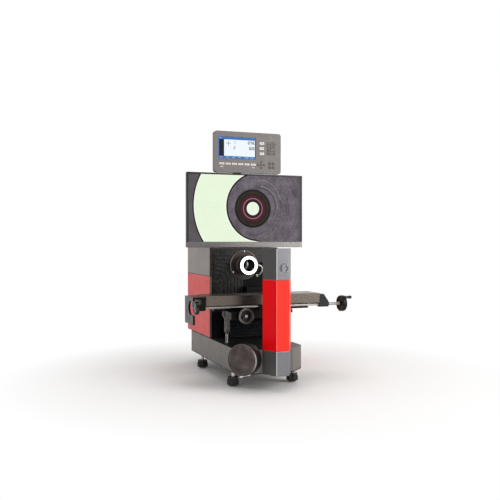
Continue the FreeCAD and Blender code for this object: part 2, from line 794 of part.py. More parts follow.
def build_column():
    skin = column_outline("0") + list(reversed(column_outline("column_sheet")))
    levels = {
        "lower": ("column_low", "base_top - 1"),
        "band": ("base_top - 1", "red_top"),
        "upper": ("red_top", "body_top"),
    }
    lower = prism("XY_Plane", levels["lower"], [skin])
    upper = prism("XY_Plane", levels["upper"], [skin])
    window = rod("plug_wide + gap", "20", ("axis_x", "column_front - 5", "axis_high"), BACK)
    cap = prism("XY_Plane", ("body_top - lid", "body_top - 1"), [column_outline("column_sheet")])
    keep("column_covers", group(lower, cut(upper, window), cap))
    keep("column_band", prism("XY_Plane", levels["band"], [skin]))

    rear = "column_front + column_deep"
    front = column_outline("column_sheet")
    spine = [
        ("axis_x + column_x - spine_half", "base_front"),
        ("axis_x + column_x - spine_half", rear),
        *front,
        ("axis_x + column_x + spine_half", rear),
        ("axis_x + column_x + spine_half", "base_front"),
    ]
    core = prism("XY_Plane", ("column_low", "body_top - lid"), [spine])
    tunnel = rod("lamp_wide - 6", "80", ("axis_x", "column_front + 10", "axis_high"), BACK)
    keep("column_spine", cut(core, tunnel))

    disc = rod("plug_wide", "column_sheet + 1", ("axis_x", "column_front - 1", "axis_high"), BACK)
    groove = cut(
        rod("plug_wide - 2.5", "2.5", ("axis_x", "column_front - 1", "axis_high"), BACK),
        rod("plug_wide - 6", "2.5", ("axis_x", "column_front - 1", "axis_high"), BACK),
        block(around("8"), ("column_front - 2", "column_front + 3"), ("axis_high - 20", "axis_high + 20")),
    )
    keep("lamp_plug", cut(disc, groove))

    keep(
        "lamp_barrel",
        turned(
            [
                ("lamp_wide - 9", "base_front"),
                ("lamp_wide + 8", "base_front"),
                ("lamp_wide + 8", "base_front + 8"),
                ("lamp_wide", "base_front + 8"),
                ("lamp_wide", "base_front + lamp_long"),
                ("lamp_wide - 4", "base_front + lamp_long"),
                ("lamp_wide - 4", "base_front + lamp_long - 8"),
                ("lamp_wide - 9", "base_front + lamp_long - 8"),
            ],
            ("axis_x", "0", "axis_high"),
            BACK,
        ),
    )
    end = "base_front + lamp_long"
    keep(
        "lamp_lens",
        turned(
            [
                ("0", f"{end} - 8"),
                ("lamp_wide - 4", f"{end} - 8"),
                ("lamp_wide - 4", f"{end} - 5"),
                ("0", f"{end} - 1"),
            ],
            ("axis_x", "0", "axis_high"),
            BACK,
        ),
    )


def bellows(low, high, folds):
    """Folded cover: zigzag front, flat back."""
    step = f"(({high}) - ({low})) / {2 * folds}"
    front = []
    for number in range(2 * folds + 1):
        y = "bellows_front + fold_deep" if number % 2 == 0 else "bellows_front"
        front.append((y, f"{low} + {number} * {step}"))
    corners = [("bellows_rear", low), *front, ("bellows_rear", high)]
    return prism("YZ_Plane", around("bellows_half"), [corners])


def build_vertical_slide():
    rails = [
        block(
            (f"axis_x {side} rail_off - rail_wide / 2", f"axis_x {side} rail_off + rail_wide / 2"),
            ("rail_front", "body_wall"),
            ("base_top", "rail_top"),
        )
        for side in ("-", "+")
    ]
    keep("vertical_rails", group(*rails))
    keep("bellows", bellows("base_top", "knee_low - gap", 7))

    upright = block(around("knee_half"), ("knee_back", "knee_rear"), ("knee_low", "knee_high"))
    grooves = [
        block(
            (
                f"axis_x {side} rail_off - rail_wide / 2 - gap",
                f"axis_x {side} rail_off + rail_wide / 2 + gap",
            ),
            ("rail_front - gap", "knee_rear + 1"),
            ("knee_low - 1", "tower_top + 1"),
        )
        for side in ("-", "+")
    ]
    knee = prism(
        "YZ_Plane",
        around("knee_half"),
        [
            [
                ("knee_front", "knee_low + 22"),
                ("knee_back - 40", "knee_low"),
                ("knee_back + 1", "knee_low"),
                ("knee_back + 1", "knee_top"),
                ("knee_front", "knee_top"),
            ]
        ],
    )
    way = prism("XZ_Plane", ("knee_front", "slide_rear"), [dovetail("knee_top", "0")])
    arm = block(
        ("axis_x - screw_x - nut_wide - 5", "axis_x - knee_half + 1"),
        ("screw_y - nut_wide - 5", "screw_y + nut_wide + 5"),
        ("arm_low", "knee_top"),
    )
    gearbox = prism(
        "XZ_Plane",
        ("box_front", "knee_front + 20"),
        [rectangle(("axis_x - box_left", "axis_x - knee_half + 4"), ("box_low", "box_top"))],
    )
    dress(gearbox, "Fillet", "4", ALONG_Y)
    passage = rod("screw_wide + 1", "60", ("axis_x - screw_x", "screw_y", "arm_low - 10"))
    bore = rod("5 + running", "60", ("axis_x + focus_x", "box_front - 1", "focus_high"), BACK)
    tower = block(
        ("axis_x - tower_left", "axis_x + knee_half"),
        ("knee_back", "knee_rear"),
        ("knee_high - 1", "tower_top"),
    )
    keep("vertical_carriage", cut(join(upright, tower, knee, way, arm, gearbox), *grooves, passage, bore))

    keep(
        "elevating_nut",
        turned(
            [
                ("screw_wide + running", "nut_low"),
                ("nut_wide - 3", "nut_low"),
                ("nut_wide - 3", "nut_low + 6"),
                ("nut_wide", "nut_low + 9"),
                ("nut_wide", "arm_low - 6"),
                ("nut_wide + 4", "arm_low - 6"),
                ("nut_wide + 4", "arm_low"),
                ("screw_wide + running", "arm_low"),
            ],
            ("axis_x - screw_x", "screw_y", "0"),
        ),
    )
    keep(
        "elevating_screw",
        turned(
            [
                ("0", "base_top - 20 + gap"),
                ("screw_wide", "base_top - 20 + gap"),
                ("screw_wide", "base_top + gap"),
                ("screw_wide + 3", "base_top + gap"),
                ("screw_wide + 3", "base_top + 2"),
                ("screw_wide", "base_top + 2"),
                ("screw_wide", "screw_top - 2"),
                ("screw_wide - 2", "screw_top"),
                ("0", "screw_top"),
            ],
            ("axis_x - screw_x", "screw_y", "0"),
        ),
    )


def dovetail(low, grow):
    """Cross-section (X, Z) of a dovetail standing on a plane; grow widens it for its groove."""
    neck = f"(dove_wide + {grow})"
    head = f"(dove_wide + dove_high * 0.5 + {grow})"
    return [
        (f"axis_x - {neck}", f"{low} - 1"),
        (f"axis_x - {neck}", low),
        (f"axis_x - {head}", f"{low} + dove_high + {grow}"),
        (f"axis_x + {head}", f"{low} + dove_high + {grow}"),
        (f"axis_x + {neck}", low),
        (f"axis_x + {neck}", f"{low} - 1"),
    ]


def table_dovetail(low, grow):
    """The same dovetail across the table (Y, Z)."""
    middle = "(guide_rear + slide_rear) / 2"
    neck = f"(dove_wide - 6 + {grow})"
    head = f"(dove_wide - 6 + dove_high * 0.5 + {grow})"
    return [
        (f"{middle} - {neck}", f"{low} - 1"),
        (f"{middle} - {neck}", low),
        (f"{middle} - {head}", f"{low} + dove_high + {grow}"),
        (f"{middle} + {head}", f"{low} + dove_high + {grow}"),
        (f"{middle} + {neck}", low),
        (f"{middle} + {neck}", f"{low} - 1"),
    ]


def build_focus_slide():
    low, high = "knee_top + gap", "table_top - table_thick - gap"
    slab = block(around("slide_half"), ("knee_front", "slide_rear"), (low, high))
    groove = prism("XZ_Plane", ("knee_front - 30", "slide_rear + 30"), [dovetail("knee_top", "gap")])
    way = prism("YZ_Plane", around("slide_half"), [table_dovetail(high, "0")])
    guide = block(around("guide_half"), ("guide_front", "guide_rear"), ("guide_low", "guide_top"))
    nut = block(around("22"), ("lead_y - 13", "knee_front + 1"), ("lead_high - 12", high))
    thread = rod("lead_round + running", "60", ("axis_x - 30", "lead_y", "lead_high"), ACROSS)
    guide_middle = "(guide_low + guide_top) / 2"
    ends = [
        rod("3", "9", (f"axis_x {side} (guide_half - 9)", "guide_front - 5", guide_middle), BACK)
        for side in ("-", "+")
    ]
    knob_seat = rod("3 + running", "30", ("axis_x + 136", "(guide_front + guide_rear) / 2", "guide_low - 5"))
    slide = cut(join(slab, way, guide, nut), groove, thread, knob_seat, *ends)
    screws = [
        rod("3", "6", (f"axis_x {side} (guide_half - 9)", "guide_front - 2", guide_middle), BACK)
        for side in ("-", "+")
    ]
    keep("cross_slide", group(slide, *screws))
    keep(
        "lock_knob",
        turned(
            [
                ("0", "guide_low - 18"),
                ("6", "guide_low - 18"),
                ("7", "guide_low - 16"),
                ("7", "guide_low - 6"),
                ("4", "guide_low - 3"),
                ("3", "guide_low - 3"),
                ("3", "guide_top - 1"),
                ("0", "guide_top - 1"),
            ],
            ("axis_x + 136", "(guide_front + guide_rear) / 2", "0"),
        ),
    )
    wheel = turned(
        [
            ("0", "focus_front + 2"),
            ("7", "focus_front + 2"),
            ("8", "focus_front + 6"),
            ("focus_wide - 9", "focus_front + 7"),
            ("focus_wide - 6", "focus_front"),
            ("focus_wide - 2", "focus_front"),
            ("focus_wide", "focus_front + 2"),
            ("focus_wide", "focus_front + 9"),
            ("focus_wide - 2", "focus_front + 11"),
            ("focus_wide - 8", "focus_front + 11"),
            ("11", "focus_front + 13"),
            ("11", "box_front - gap"),
            ("5", "box_front - gap"),
            ("5", "box_front + 40"),
            ("0", "box_front + 40"),
        ],
        ("axis_x + focus_x", "0", "focus_high"),
        BACK,
    )
    pin = ("axis_x + focus_x - 14", "focus_front - 1", "focus_high - 7")
    pin_hole = rod("2.5 + running", "20", pin, BACK)
    keep("focus_wheel", cut(wheel, pin_hole))
    keep(
        "focus_handle",
        turned(
            [
                ("0", "focus_front - 16"),
                ("4", "focus_front - 16"),
                ("6", "focus_front - 14"),
                ("4.5", "focus_front - 1"),
                ("4.5", "focus_front + 5"),
                ("2.5", "focus_front + 5"),
                ("2.5", "focus_front + 11"),
                ("0", "focus_front + 11"),
            ],
            ("axis_x + focus_x - 14", "0", "focus_high - 7"),
            BACK,
        ),
    )


def build_table():
    low = "table_top - table_thick"
    rear = "table_front + table_deep"
    middle = "table_front + table_deep / 2"
    slab = prism("XY_Plane", (low, "table_top"), [rectangle(around("table_half"), ("table_front", rear))])
    dress(slab, "Fillet", "3", ALONG_Z)
    groove = prism("YZ_Plane", around("(table_half + 1)"), [table_dovetail(f"{low} - gap", "gap")])
    slots = []
    for side in ("-", "+"):
        edges = (f"{middle} {side} slot_off - slot_wide / 2", f"{middle} {side} slot_off + slot_wide / 2")
        slots.append(block(around("(table_half + 1)"), edges, ("table_top - slot_deep", "table_top + 1")))
    holes = [
        rod("hole_wide", "14", (f"axis_x {side} hole_step", middle, "table_top - 13")) for side in ("-", "+")
    ]
    keep("table", cut(slab, groove, *slots, *holes))

    guard_out = "table_half + left_long + guard_room + guard_thick"
    wheel_in = "table_half + end_long + right_arm"
    lug = ("lead_y - 12", "guide_front - 4")
    left_end = (f"axis_x - ({guard_out})", "lead_y", "lead_high")
    bore = rod("lead_round + running", f"{guard_out} + {wheel_in}", left_end, ACROSS)
    for side, length in (("left", "left_long"), ("right", "end_long")):
        sign = "-" if side == "left" else "+"
        inner = f"axis_x {sign} table_half"
        outer = f"axis_x {sign} (table_half + {length})"
        face = prism(
            "XZ_Plane",
            ("table_front + 2", f"{rear} - 2"),
            [
                [
                    (inner, "guide_top + 1"),
                    (outer, "guide_top + 1"),
                    (outer, "lead_high + 9"),
                    (f"axis_x {sign} (table_half + {length} * 0.45)", "table_top - 4"),
                    (inner, "table_top - 4"),
                ]
            ],
        )
        x = (outer, inner) if side == "left" else (inner, outer)
        boss = block(x, lug, ("lead_high - 11", "guide_top + 2"))
        parts = [face, boss]
        if side == "left":
            parts += left_guard(guard_out)
        keep(f"end_bracket_{side}", cut(join(*parts), bore))

    keep(
        "lead_screw",
        turned(
            [
                ("0", f"-({guard_out}) + guard_thick + 1"),
                ("lead_round - 2", f"-({guard_out}) + guard_thick + 1"),
                ("lead_round - 2", "-table_half - left_long - 4"),
                ("lead_round", "-table_half - left_long - 4"),
                ("lead_round", f"{wheel_in} - 2"),
                ("lead_round - 2", f"{wheel_in} - 2"),
                ("lead_round - 2", f"{wheel_in} + right_deep - 4"),
                ("0", f"{wheel_in} + right_deep - 4"),
            ],
            ("axis_x", "lead_y", "lead_high"),
            ACROSS,
        ),
    )
    hub = "-table_half - left_long"
    keep(
        "left_handwheel",
        turned(
            [
                ("lead_round - 2", f"{hub} - 4"),
                ("lead_round", f"{hub} - 4"),
                ("lead_round", f"{hub} - gap"),
                ("11", f"{hub} - gap"),
                ("11", f"{hub} - 3"),
                ("left_wheel - 3", f"{hub} - 3"),
                ("left_wheel", f"{hub} - 5"),
                ("left_wheel", f"{hub} - left_deep"),
                ("left_wheel - 3", f"{hub} - left_deep - 2"),
                ("11", f"{hub} - left_deep - 2"),
                ("lead_round - 2", f"{hub} - left_deep"),
            ],
            ("axis_x", "lead_y", "lead_high"),
            ACROSS,
        ),
    )
    wheel = turned(
        [
            ("lead_round - 2", f"{wheel_in} - 2"),
            ("11", f"{wheel_in} - 2"),
            ("13", f"{wheel_in} + 2"),
            ("right_wheel - 2", wheel_in),
            ("right_wheel", f"{wheel_in} + 3"),
            ("right_wheel", f"{wheel_in} + right_deep - 3"),
            ("right_wheel - 2", f"{wheel_in} + right_deep"),
            ("right_wheel - 6", f"{wheel_in} + right_deep"),
            ("right_wheel - 8", f"{wheel_in} + right_deep - 6"),
            ("10", f"{wheel_in} + right_deep - 6"),
            ("8", f"{wheel_in} + right_deep - 4"),
            ("lead_round - 2", f"{wheel_in} + right_deep - 4"),
        ],
        ("axis_x", "lead_y", "lead_high"),
        ACROSS,
    )
    spot = ("lead_y", "lead_high + crank_out")
    seat = rod("3 + running", "30", (f"axis_x + {wheel_in} + 4", *spot), ACROSS)
    keep("right_handwheel", cut(wheel, seat))
    outer = f"{wheel_in} + right_deep"
    keep(
        "crank_handle",
        turned(
            [
                ("0", f"{wheel_in} + 5"),
                ("3", f"{wheel_in} + 5"),
                ("3", f"{outer} + 1"),
                ("5", f"{outer} + 1"),
                ("7", f"{outer} + 6"),
                ("5.5", f"{outer} + crank_long * 0.5"),
                ("7.5", f"{outer} + crank_long - 5"),
                ("5", f"{outer} + crank_long"),
                ("0", f"{outer} + crank_long"),
            ],
            ("axis_x", *spot),
            ACROSS,
        ),
    )


def left_guard(guard_out):
    """Guard over the left handwheel: an upright plate with a finger notch, on a bridge from the bracket."""
    outside = f"axis_x - ({guard_out})"
    inside = f"{outside} + guard_thick"
    front, rear = "table_front + 2", "table_front + table_deep - 2"
    top = "table_top - 4"
    plate = block((outside, inside), (front, rear), ("guard_low", top))
    notch_end = "lead_y + notch_deep - notch_wide"
    notch = join(
        block(
            (f"{outside} - 1", f"{inside} + 1"),
            (f"{front} - 1", notch_end),
            ("lead_high - notch_wide", "lead_high + notch_wide"),
        ),
        rod("notch_wide", "guard_thick + 2", (f"{outside} - 1", notch_end, "lead_high"), ACROSS),
    )
    bridge = block((f"{inside} - 1", "axis_x - table_half"), (f"{front} + 4", rear), (f"{top} - 9", top))
    return [cut(plate, notch), bridge]


def build_disc():
    keep(
        "disc_bearing",
        turned(
            [
                ("shaft_wide + running", "0"),
                ("shaft_wide + 12", "0"),
                ("shaft_wide + 12", "disc_gap - 2"),
                ("shaft_wide + running", "disc_gap - 2"),
            ],
            outwards("0"),
            DIAGONAL,
        ),
    )
    keep(
        "disc_handwheel",
        turned(
            [
                ("0", "disc_deep - disc_skin"),
                ("shaft_wide", "disc_deep - disc_skin"),
                ("shaft_wide", "0"),
                ("shaft_wide + 7", "0"),
                ("shaft_wide + 7", "disc_deep - disc_skin"),
                ("disc_wide - disc_skin", "disc_deep - disc_skin"),
                ("disc_wide - disc_skin", "0"),
                ("disc_wide", "0"),
                ("disc_wide", "disc_deep - 4"),
                ("disc_wide - 4", "disc_deep"),
                ("0", "disc_deep"),
            ],
            outwards("disc_gap"),
            DIAGONAL,
        ),
    )
    keep("disc_shaft", rod("shaft_wide", "50 + disc_gap + disc_deep - disc_skin", outwards("-50"), DIAGONAL))
    hub = rod("8", "6", ("0", "0", "-6 - gap"))
    pin = rod("3", "18", ("0", "0", "-6 - gap"))
    bar = block(("0", "lever_long"), ("-5", "5"), ("-5.5", "-1"))
    tip = rod("6.5", "7", ("lever_long", "0", "-7"))
    lever = join(hub, pin, bar, tip)
    keep("lift_lock_lever", lever)
    x, y, _ = outwards("-base_wall / 2")
    put(lever, (x, y, "base_low"), FreeCAD.Rotation(FreeCAD.Vector(0, 0, 1), 208))


def frame_x(from_left):
    """Coordinate on the readout from its left edge."""
    return f"axis_x + readout_x - readout_wide / 2 + {from_left}"


# Keys of the readout: middle from its left side and its underside, width and height
KEYS = {
    "keys_soft": [(34 + 29.8 * k, 38.5, 24, 9) for k in range(6)],
    "keys_axis": [(224.5, 89.5 + 23.2 * k, 22, 12) for k in range(3)],
    "keys_number": [(255.5 + 14.6 * i, 91.5 + 15.2 * j, 11, 11) for i in range(3) for j in range(4)],
    "keys_command": [(222, 38, 9, 9), (222, 51, 9, 7), (222, 25, 9, 7), (208, 38, 8, 9), (236, 38, 8, 9)]
    + [(263.5 + 17 * i, 28.5 + 17 * j, 13, 11) for i in range(2) for j in range(2)],
}


def build_monitor():
    low, top = "screen_low", "screen_low + screen_high"
    left = "axis_x + screen_x - screen_wide / 2"
    right = "axis_x + screen_x + screen_wide / 2"
    front, rear = "screen_front", "screen_front + screen_deep"
    glass = rectangle(
        (f"{left} + screen_edge", f"{right} - screen_edge"), (f"{low} + screen_chin", f"{top} - screen_edge")
    )
    bezel = prism("XZ_Plane", (front, f"{front} + 8"), [rectangle((left, right), (low, top)), glass])
    keep("monitor_frame", bezel)
    keep("monitor_glass", prism("XZ_Plane", (f"{front} + 1.5", f"{front} + 8"), [glass]))
    shell = prism("XZ_Plane", (f"{front} + 8", rear), [rectangle((left, right), (low, top))])
    bulge = prism(
        "YZ_Plane",
        (f"{left} + 90", f"{right} - 90"),
        [
            [
                (f"{rear} - 1", f"{low} + 30"),
                (f"{front} + screen_bulge", f"{low} + 60"),
                (f"{front} + screen_bulge", f"{top} - 90"),
                (f"{rear} - 1", f"{top} - 50"),
            ]
        ],
    )
    keep("monitor_shell", join(shell, bulge))

    near, far = "hinge_high - 50", "hinge_high + 50"
    plate = block(around("50"), (f"{front} + screen_bulge", "hinge_y - 12"), (near, far))
    ear_deep, ear_high = ("hinge_y - 13", "hinge_y + 9"), ("hinge_high - 9", "hinge_high + 9")
    ears = [block((f"axis_x {x}", f"axis_x {x} + 8"), ear_deep, ear_high) for x in ("- 28", "+ 20")]
    arm = block(around("20"), ("hinge_y - 13", "hinge_y - 7"), (f"{far} - 1", "readout_tilt - 12"))
    back = "readout_front + readout_deep"
    knuckle = block(around("20"), (f"{back} + 12", "hinge_y - 7"), ("readout_tilt - 18", "readout_tilt - 12"))
    pivot_deep, pivot_high = (f"{back} + 11", f"{back} + 25"), ("readout_tilt - 13", "readout_tilt + 7")
    pivots = [block((f"axis_x {x}", f"axis_x {x} + 6"), pivot_deep, pivot_high) for x in ("- 20", "+ 14")]
    bore = rod("5 + running", "100", ("axis_x - 50", "hinge_y", "hinge_high"), ACROSS)
    pivot_hole = rod("3 + running", "100", ("axis_x - 50", f"{back} + 18", "readout_tilt"), ACROSS)
    keep("monitor_bracket", cut(join(plate, *ears, arm, knuckle, *pivots), bore, pivot_hole))

    post = block(around("17"), ("hinge_y + 12", "hinge_y + 30"), ("body_top", "hinge_high - 14"))
    foot = block(around("60"), ("hinge_y - 20", "hinge_y + 70"), ("body_top", "body_top + 8"))
    head = prism(
        "YZ_Plane",
        around("(20 - gap)"),
        [
            [
                ("hinge_y - 8", "hinge_high - 8"),
                ("hinge_y + 12", "hinge_high - 22"),
                ("hinge_y + 30", "hinge_high - 22"),
                ("hinge_y + 30", "hinge_high + 4"),
                ("hinge_y + 8", "hinge_high + 8"),
                ("hinge_y - 8", "hinge_high + 8"),
            ]
        ],
    )
    pin = rod("5", "56", ("axis_x - 28", "hinge_y", "hinge_high"), ACROSS)
    hole = rod("5", "60", ("axis_x - 30", "hinge_y", "hinge_high"), ACROSS)
    keep("monitor_post", group(cut(join(post, foot, head), hole), pin))


def build_readout():
    front, rear = "readout_front", "readout_front + readout_deep"
    left, right = frame_x("0"), frame_x("readout_wide")
    low, top = "readout_low", "readout_low + readout_high"
    case = prism("XZ_Plane", (front, rear), [rectangle((left, right), (low, top))])
    dress(case, "Fillet", "readout_round", ALONG_Y)
    middle = (frame_x("60"), frame_x("readout_wide - 60"))
    back = block(middle, (f"{rear} - 1", f"{rear} + 8"), (f"{low} + 30", f"{top} - 30"))
    lug_high = ("readout_tilt - 7", "readout_tilt + 7")
    lug = block(around("(14 - gap)"), (f"{rear} + 7", f"{rear} + 24"), lug_high)
    pin_hole = rod("3", "60", ("axis_x - 30", f"{rear} + 18", "readout_tilt"), ACROSS)
    across = (frame_x("lcd_left"), frame_x("lcd_left + lcd_wide"))
    upright = (f"{low} + lcd_low", f"{low} + lcd_low + lcd_high")
    window = block(across, (f"{front} - 1", f"{front} + 3"), upright)
    pockets = [
        block(
            (frame_x(f"{x} - {wide} / 2"), frame_x(f"{x} + {wide} / 2")),
            (f"{front} - 1", f"{front} + key_deep"),
            (f"{low} + {z} - {high} / 2", f"{low} + {z} + {high} / 2"),
        )
        for keys in KEYS.values()
        for x, z, wide, high in keys
    ]
    pin = rod("3", "40", ("axis_x - 20", f"{rear} + 18", "readout_tilt"), ACROSS)
    keep("readout_case", group(cut(join(case, back, lug), pin_hole, window, *pockets), pin))
    keep("readout_screen", block(across, (f"{front} + 1", f"{front} + 3"), upright))
    for name, keys in KEYS.items():
        caps = [
            block(
                (frame_x(f"{x} - {wide} / 2 + gap"), frame_x(f"{x} + {wide} / 2 - gap")),
                (f"{front} - key_out", f"{front} + key_deep - 1.2"),
                (f"{low} + {z} - {high} / 2 + gap", f"{low} + {z} + {high} / 2 - gap"),
            )
            for x, z, wide, high in keys
        ]
        keep(name, group(*caps))


build_base()
build_feet()
build_housing()
build_optics()
build_lead()
build_ribbed_cover()
build_column()
build_vertical_slide()
build_focus_slide()
build_table()
build_disc()
build_monitor()
build_readout()
doc.recompute()

for thing in doc.Objects:
    if any(state in ("Invalid", "Error") for state in thing.State):
        raise RuntimeError(f"{thing.Name} ({thing.Label}) failed: {thing.State}")

os.makedirs("parts", exist_ok=True)
for name, thing in pieces.items():
    shape = thing.Shape
    if shape.isNull() or not shape.isValid() or not shape.Solids:
        raise RuntimeError(f"{name} has no valid solid")
for name, thing in pieces.items():
    thing.Shape.exportStep(f"parts/{name}.step")
    print(f"{name}: {len(thing.Shape.Solids)} solids, {thing.Shape.Volume / 1000:.1f} cm3")
print(len(pieces), "pieces")
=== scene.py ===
"""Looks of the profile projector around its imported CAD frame. Metres, +X right, +Y back, +Z up."""

import math

import bmesh
import bpy
from mathutils import Matrix, Vector


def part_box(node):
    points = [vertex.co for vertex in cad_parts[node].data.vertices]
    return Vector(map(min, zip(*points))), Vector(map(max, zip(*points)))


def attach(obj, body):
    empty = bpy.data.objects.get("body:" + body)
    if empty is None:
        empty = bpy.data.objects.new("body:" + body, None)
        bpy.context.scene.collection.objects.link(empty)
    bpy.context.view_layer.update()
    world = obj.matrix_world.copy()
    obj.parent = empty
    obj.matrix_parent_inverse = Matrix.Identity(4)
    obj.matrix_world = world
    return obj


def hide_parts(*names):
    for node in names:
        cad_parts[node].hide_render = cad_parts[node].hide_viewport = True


MM = 0.001
CAMERA_PLACE = (-1.089, -2.804, 0.575)
CAMERA_PITCH, CAMERA_YAW = -0.64, -20.49
WORLD_LIGHT = 0.5
ROOM_LIGHT = 0.13

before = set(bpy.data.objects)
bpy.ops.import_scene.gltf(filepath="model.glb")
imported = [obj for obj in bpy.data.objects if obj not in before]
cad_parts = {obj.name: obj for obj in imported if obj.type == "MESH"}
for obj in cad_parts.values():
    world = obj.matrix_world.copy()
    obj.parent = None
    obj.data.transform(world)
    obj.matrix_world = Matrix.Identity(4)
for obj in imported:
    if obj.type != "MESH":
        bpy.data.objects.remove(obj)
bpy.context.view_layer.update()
scene = bpy.context.scene
scene.view_settings.view_transform = "Standard"


def add_camera():
    """Camera at the photograph's viewing angle."""
    data = bpy.data.cameras.new("camera")
    data.lens = 49.2
    data.sensor_width = 36
    camera = bpy.data.objects.new("camera", data)
    camera.location = CAMERA_PLACE
    camera.rotation_euler = (math.radians(90 + CAMERA_PITCH), 0, math.radians(CAMERA_YAW))
    scene.collection.objects.link(camera)
    scene.camera = camera


def middle_of(node):
    """Centre of a node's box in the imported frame."""
    low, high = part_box(node)
    return (low + high) / 2


add_camera()

# Places read from the frame
AXIS_X, AXIS_Z = middle_of("lens_flange").x, middle_of("lens_flange").z
LENS = (AXIS_X, 0, AXIS_Z)
screen_low, screen_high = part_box("monitor_glass")
lcd_low, lcd_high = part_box("readout_screen")
case_low, case_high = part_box("readout_case")
FRONT, REAR, UP = (0, -1, 0), (0, 1, 0), (0, 0, 1)
OUT = (-math.sqrt(0.5), -math.sqrt(0.5), 0)
CUT_FACE = (-0.88, -0.475, 0)
RIDGE = (-0.511, -0.859, 0)


def srgb(text):
    """Linear colour from a hexadecimal one."""
    values = [int(text[k : k + 2], 16) / 255 for k in (0, 2, 4)]
    return tuple(v / 12.92 if v <= 0.04045 else ((v + 0.055) / 1.055) ** 2.4 for v in values)


def shade(colour, factor):
    """The colour, scaled and kept at or below white."""
    return tuple(min(1.0, c * factor) for c in colour)


class Shader:
    """Node material with a Principled shader and short helpers."""

    def __init__(self, name):
        self.material = bpy.data.materials.new(name)
        self.material.use_nodes = True
        self.tree = self.material.node_tree
        self.surface = self.tree.nodes["Principled BSDF"]
        coordinates = self.add("ShaderNodeTexCoord")
        self.place = coordinates.outputs["Object"]
        self.normal = coordinates.outputs["Normal"]

    def add(self, kind, **values):
        node = self.tree.nodes.new(kind)
        for key, value in values.items():
            if key in node.inputs:
                self.set(node.inputs[key], value)
            else:
                setattr(node, key, value)
        return node

    def set(self, socket, value):
        if isinstance(value, bpy.types.NodeSocket):
            self.tree.links.new(value, socket)
        else:
            socket.default_value = value

    def link(self, output, name):
        self.tree.links.new(output, self.surface.inputs[name])

    def fixed(self, **values):
        """Values that are the same all over, set on the shader's own sockets."""
        for name, value in values.items():
            socket = name.replace("_", " ").title().replace("Ior", "IOR")
            self.surface.inputs[socket].default_value = value

    def noise(self, scale, detail=3.0, stretch=(1, 1, 1)):
        """Noise over the object; stretch above 1 makes it finer along that axis."""
        mapping = self.add("ShaderNodeMapping", Vector=self.place, Scale=stretch)
        noise = self.add("ShaderNodeTexNoise", Vector=mapping.outputs[0], Scale=scale, Detail=detail)
        return noise.outputs["Fac"]

    def rings(self, radius, scale, detail):
        """Noise that varies with a radius alone, so it makes rings."""
        node = self.add("ShaderNodeTexNoise", noise_dimensions="1D", W=radius, Scale=scale, Detail=detail)
        return node.outputs["Fac"]

    def ramp(self, factor, *stops):
        """Colour ramp from (position, colour) stops."""
        ramp = self.add("ShaderNodeValToRGB", Fac=factor)
        elements = ramp.color_ramp.elements
        while len(elements) < len(stops):
            elements.new(0.5)
        for element, (position, colour) in zip(elements, stops):
            element.position = position
            element.color = (*colour, 1)
        return ramp.outputs["Color"]

    def uneven(self, factor, colour, amount):
        """The colour, darker and lighter by an amount as a factor varies."""
        return self.ramp(factor, (0.3, shade(colour, 1 - amount)), (0.7, shade(colour, 1 + amount)))

    def mottled(self, colour, amount, scale, detail=4.0, stretch=(1, 1, 1)):
        """The colour, a little darker and lighter from place to place."""
        return self.uneven(self.noise(scale, detail, stretch), colour, amount)

    def spread(self, factor, low, high, start=0.3, end=0.7):
        """Maps a factor between start and end to a range of values."""
        node = self.add("ShaderNodeMapRange", Value=factor)
        node.inputs["From Min"].default_value = start
        node.inputs["From Max"].default_value = end
        node.inputs["To Min"].default_value = low
        node.inputs["To Max"].default_value = high
        return node.outputs["Result"]

    def facing(self, direction, start=0.6, end=0.9):
        """1 where the surface faces a direction, 0 where it doesn't."""
        dot = self.add("ShaderNodeVectorMath", operation="DOT_PRODUCT")
        self.set(dot.inputs[0], self.normal)
        dot.inputs[1].default_value = direction
        return self.spread(dot.outputs["Value"], 0.0, 1.0, start, end)

    def along(self, axis, start, end):
        """0 at the start and 1 at the end of a stretch along an axis, in metres."""
        parts = self.add("ShaderNodeSeparateXYZ", Vector=self.place)
        return self.spread(parts.outputs[axis], 0.0, 1.0, start, end)

    def radius(self, centre, axis):
        """Distance from an axis through a centre, in metres."""
        shifted = self.add("ShaderNodeVectorMath", operation="SUBTRACT")
        self.set(shifted.inputs[0], self.place)
        shifted.inputs[1].default_value = centre
        across = self.add("ShaderNodeVectorMath", operation="CROSS_PRODUCT")
        self.set(across.inputs[0], shifted.outputs[0])
        across.inputs[1].default_value = axis
        length = self.add("ShaderNodeVectorMath", operation="LENGTH")
        self.set(length.inputs[0], across.outputs[0])
        return length.outputs["Value"]

    def math(self, operation, first, second):
        node = self.add("ShaderNodeMath", operation=operation)
        self.set(node.inputs[0], first)
        self.set(node.inputs[1], second)
        return node.outputs[0]

    def mix(self, factor, first, second, blend_type="MIX"):
        """Colour between two."""
        node = self.add("ShaderNodeMix", data_type="RGBA", blend_type=blend_type)
        self.set(node.inputs["Factor"], factor)
        colours = [socket for socket in node.inputs if socket.type == "RGBA"]
        self.set(colours[0], first)
        self.set(colours[1], second)
        return [socket for socket in node.outputs if socket.type == "RGBA"][0]

    def bump(self, height, distance, strength=1.0):
        node = self.add("ShaderNodeBump", Height=height, Distance=distance, Strength=strength)
        self.link(node.outputs["Normal"], "Normal")


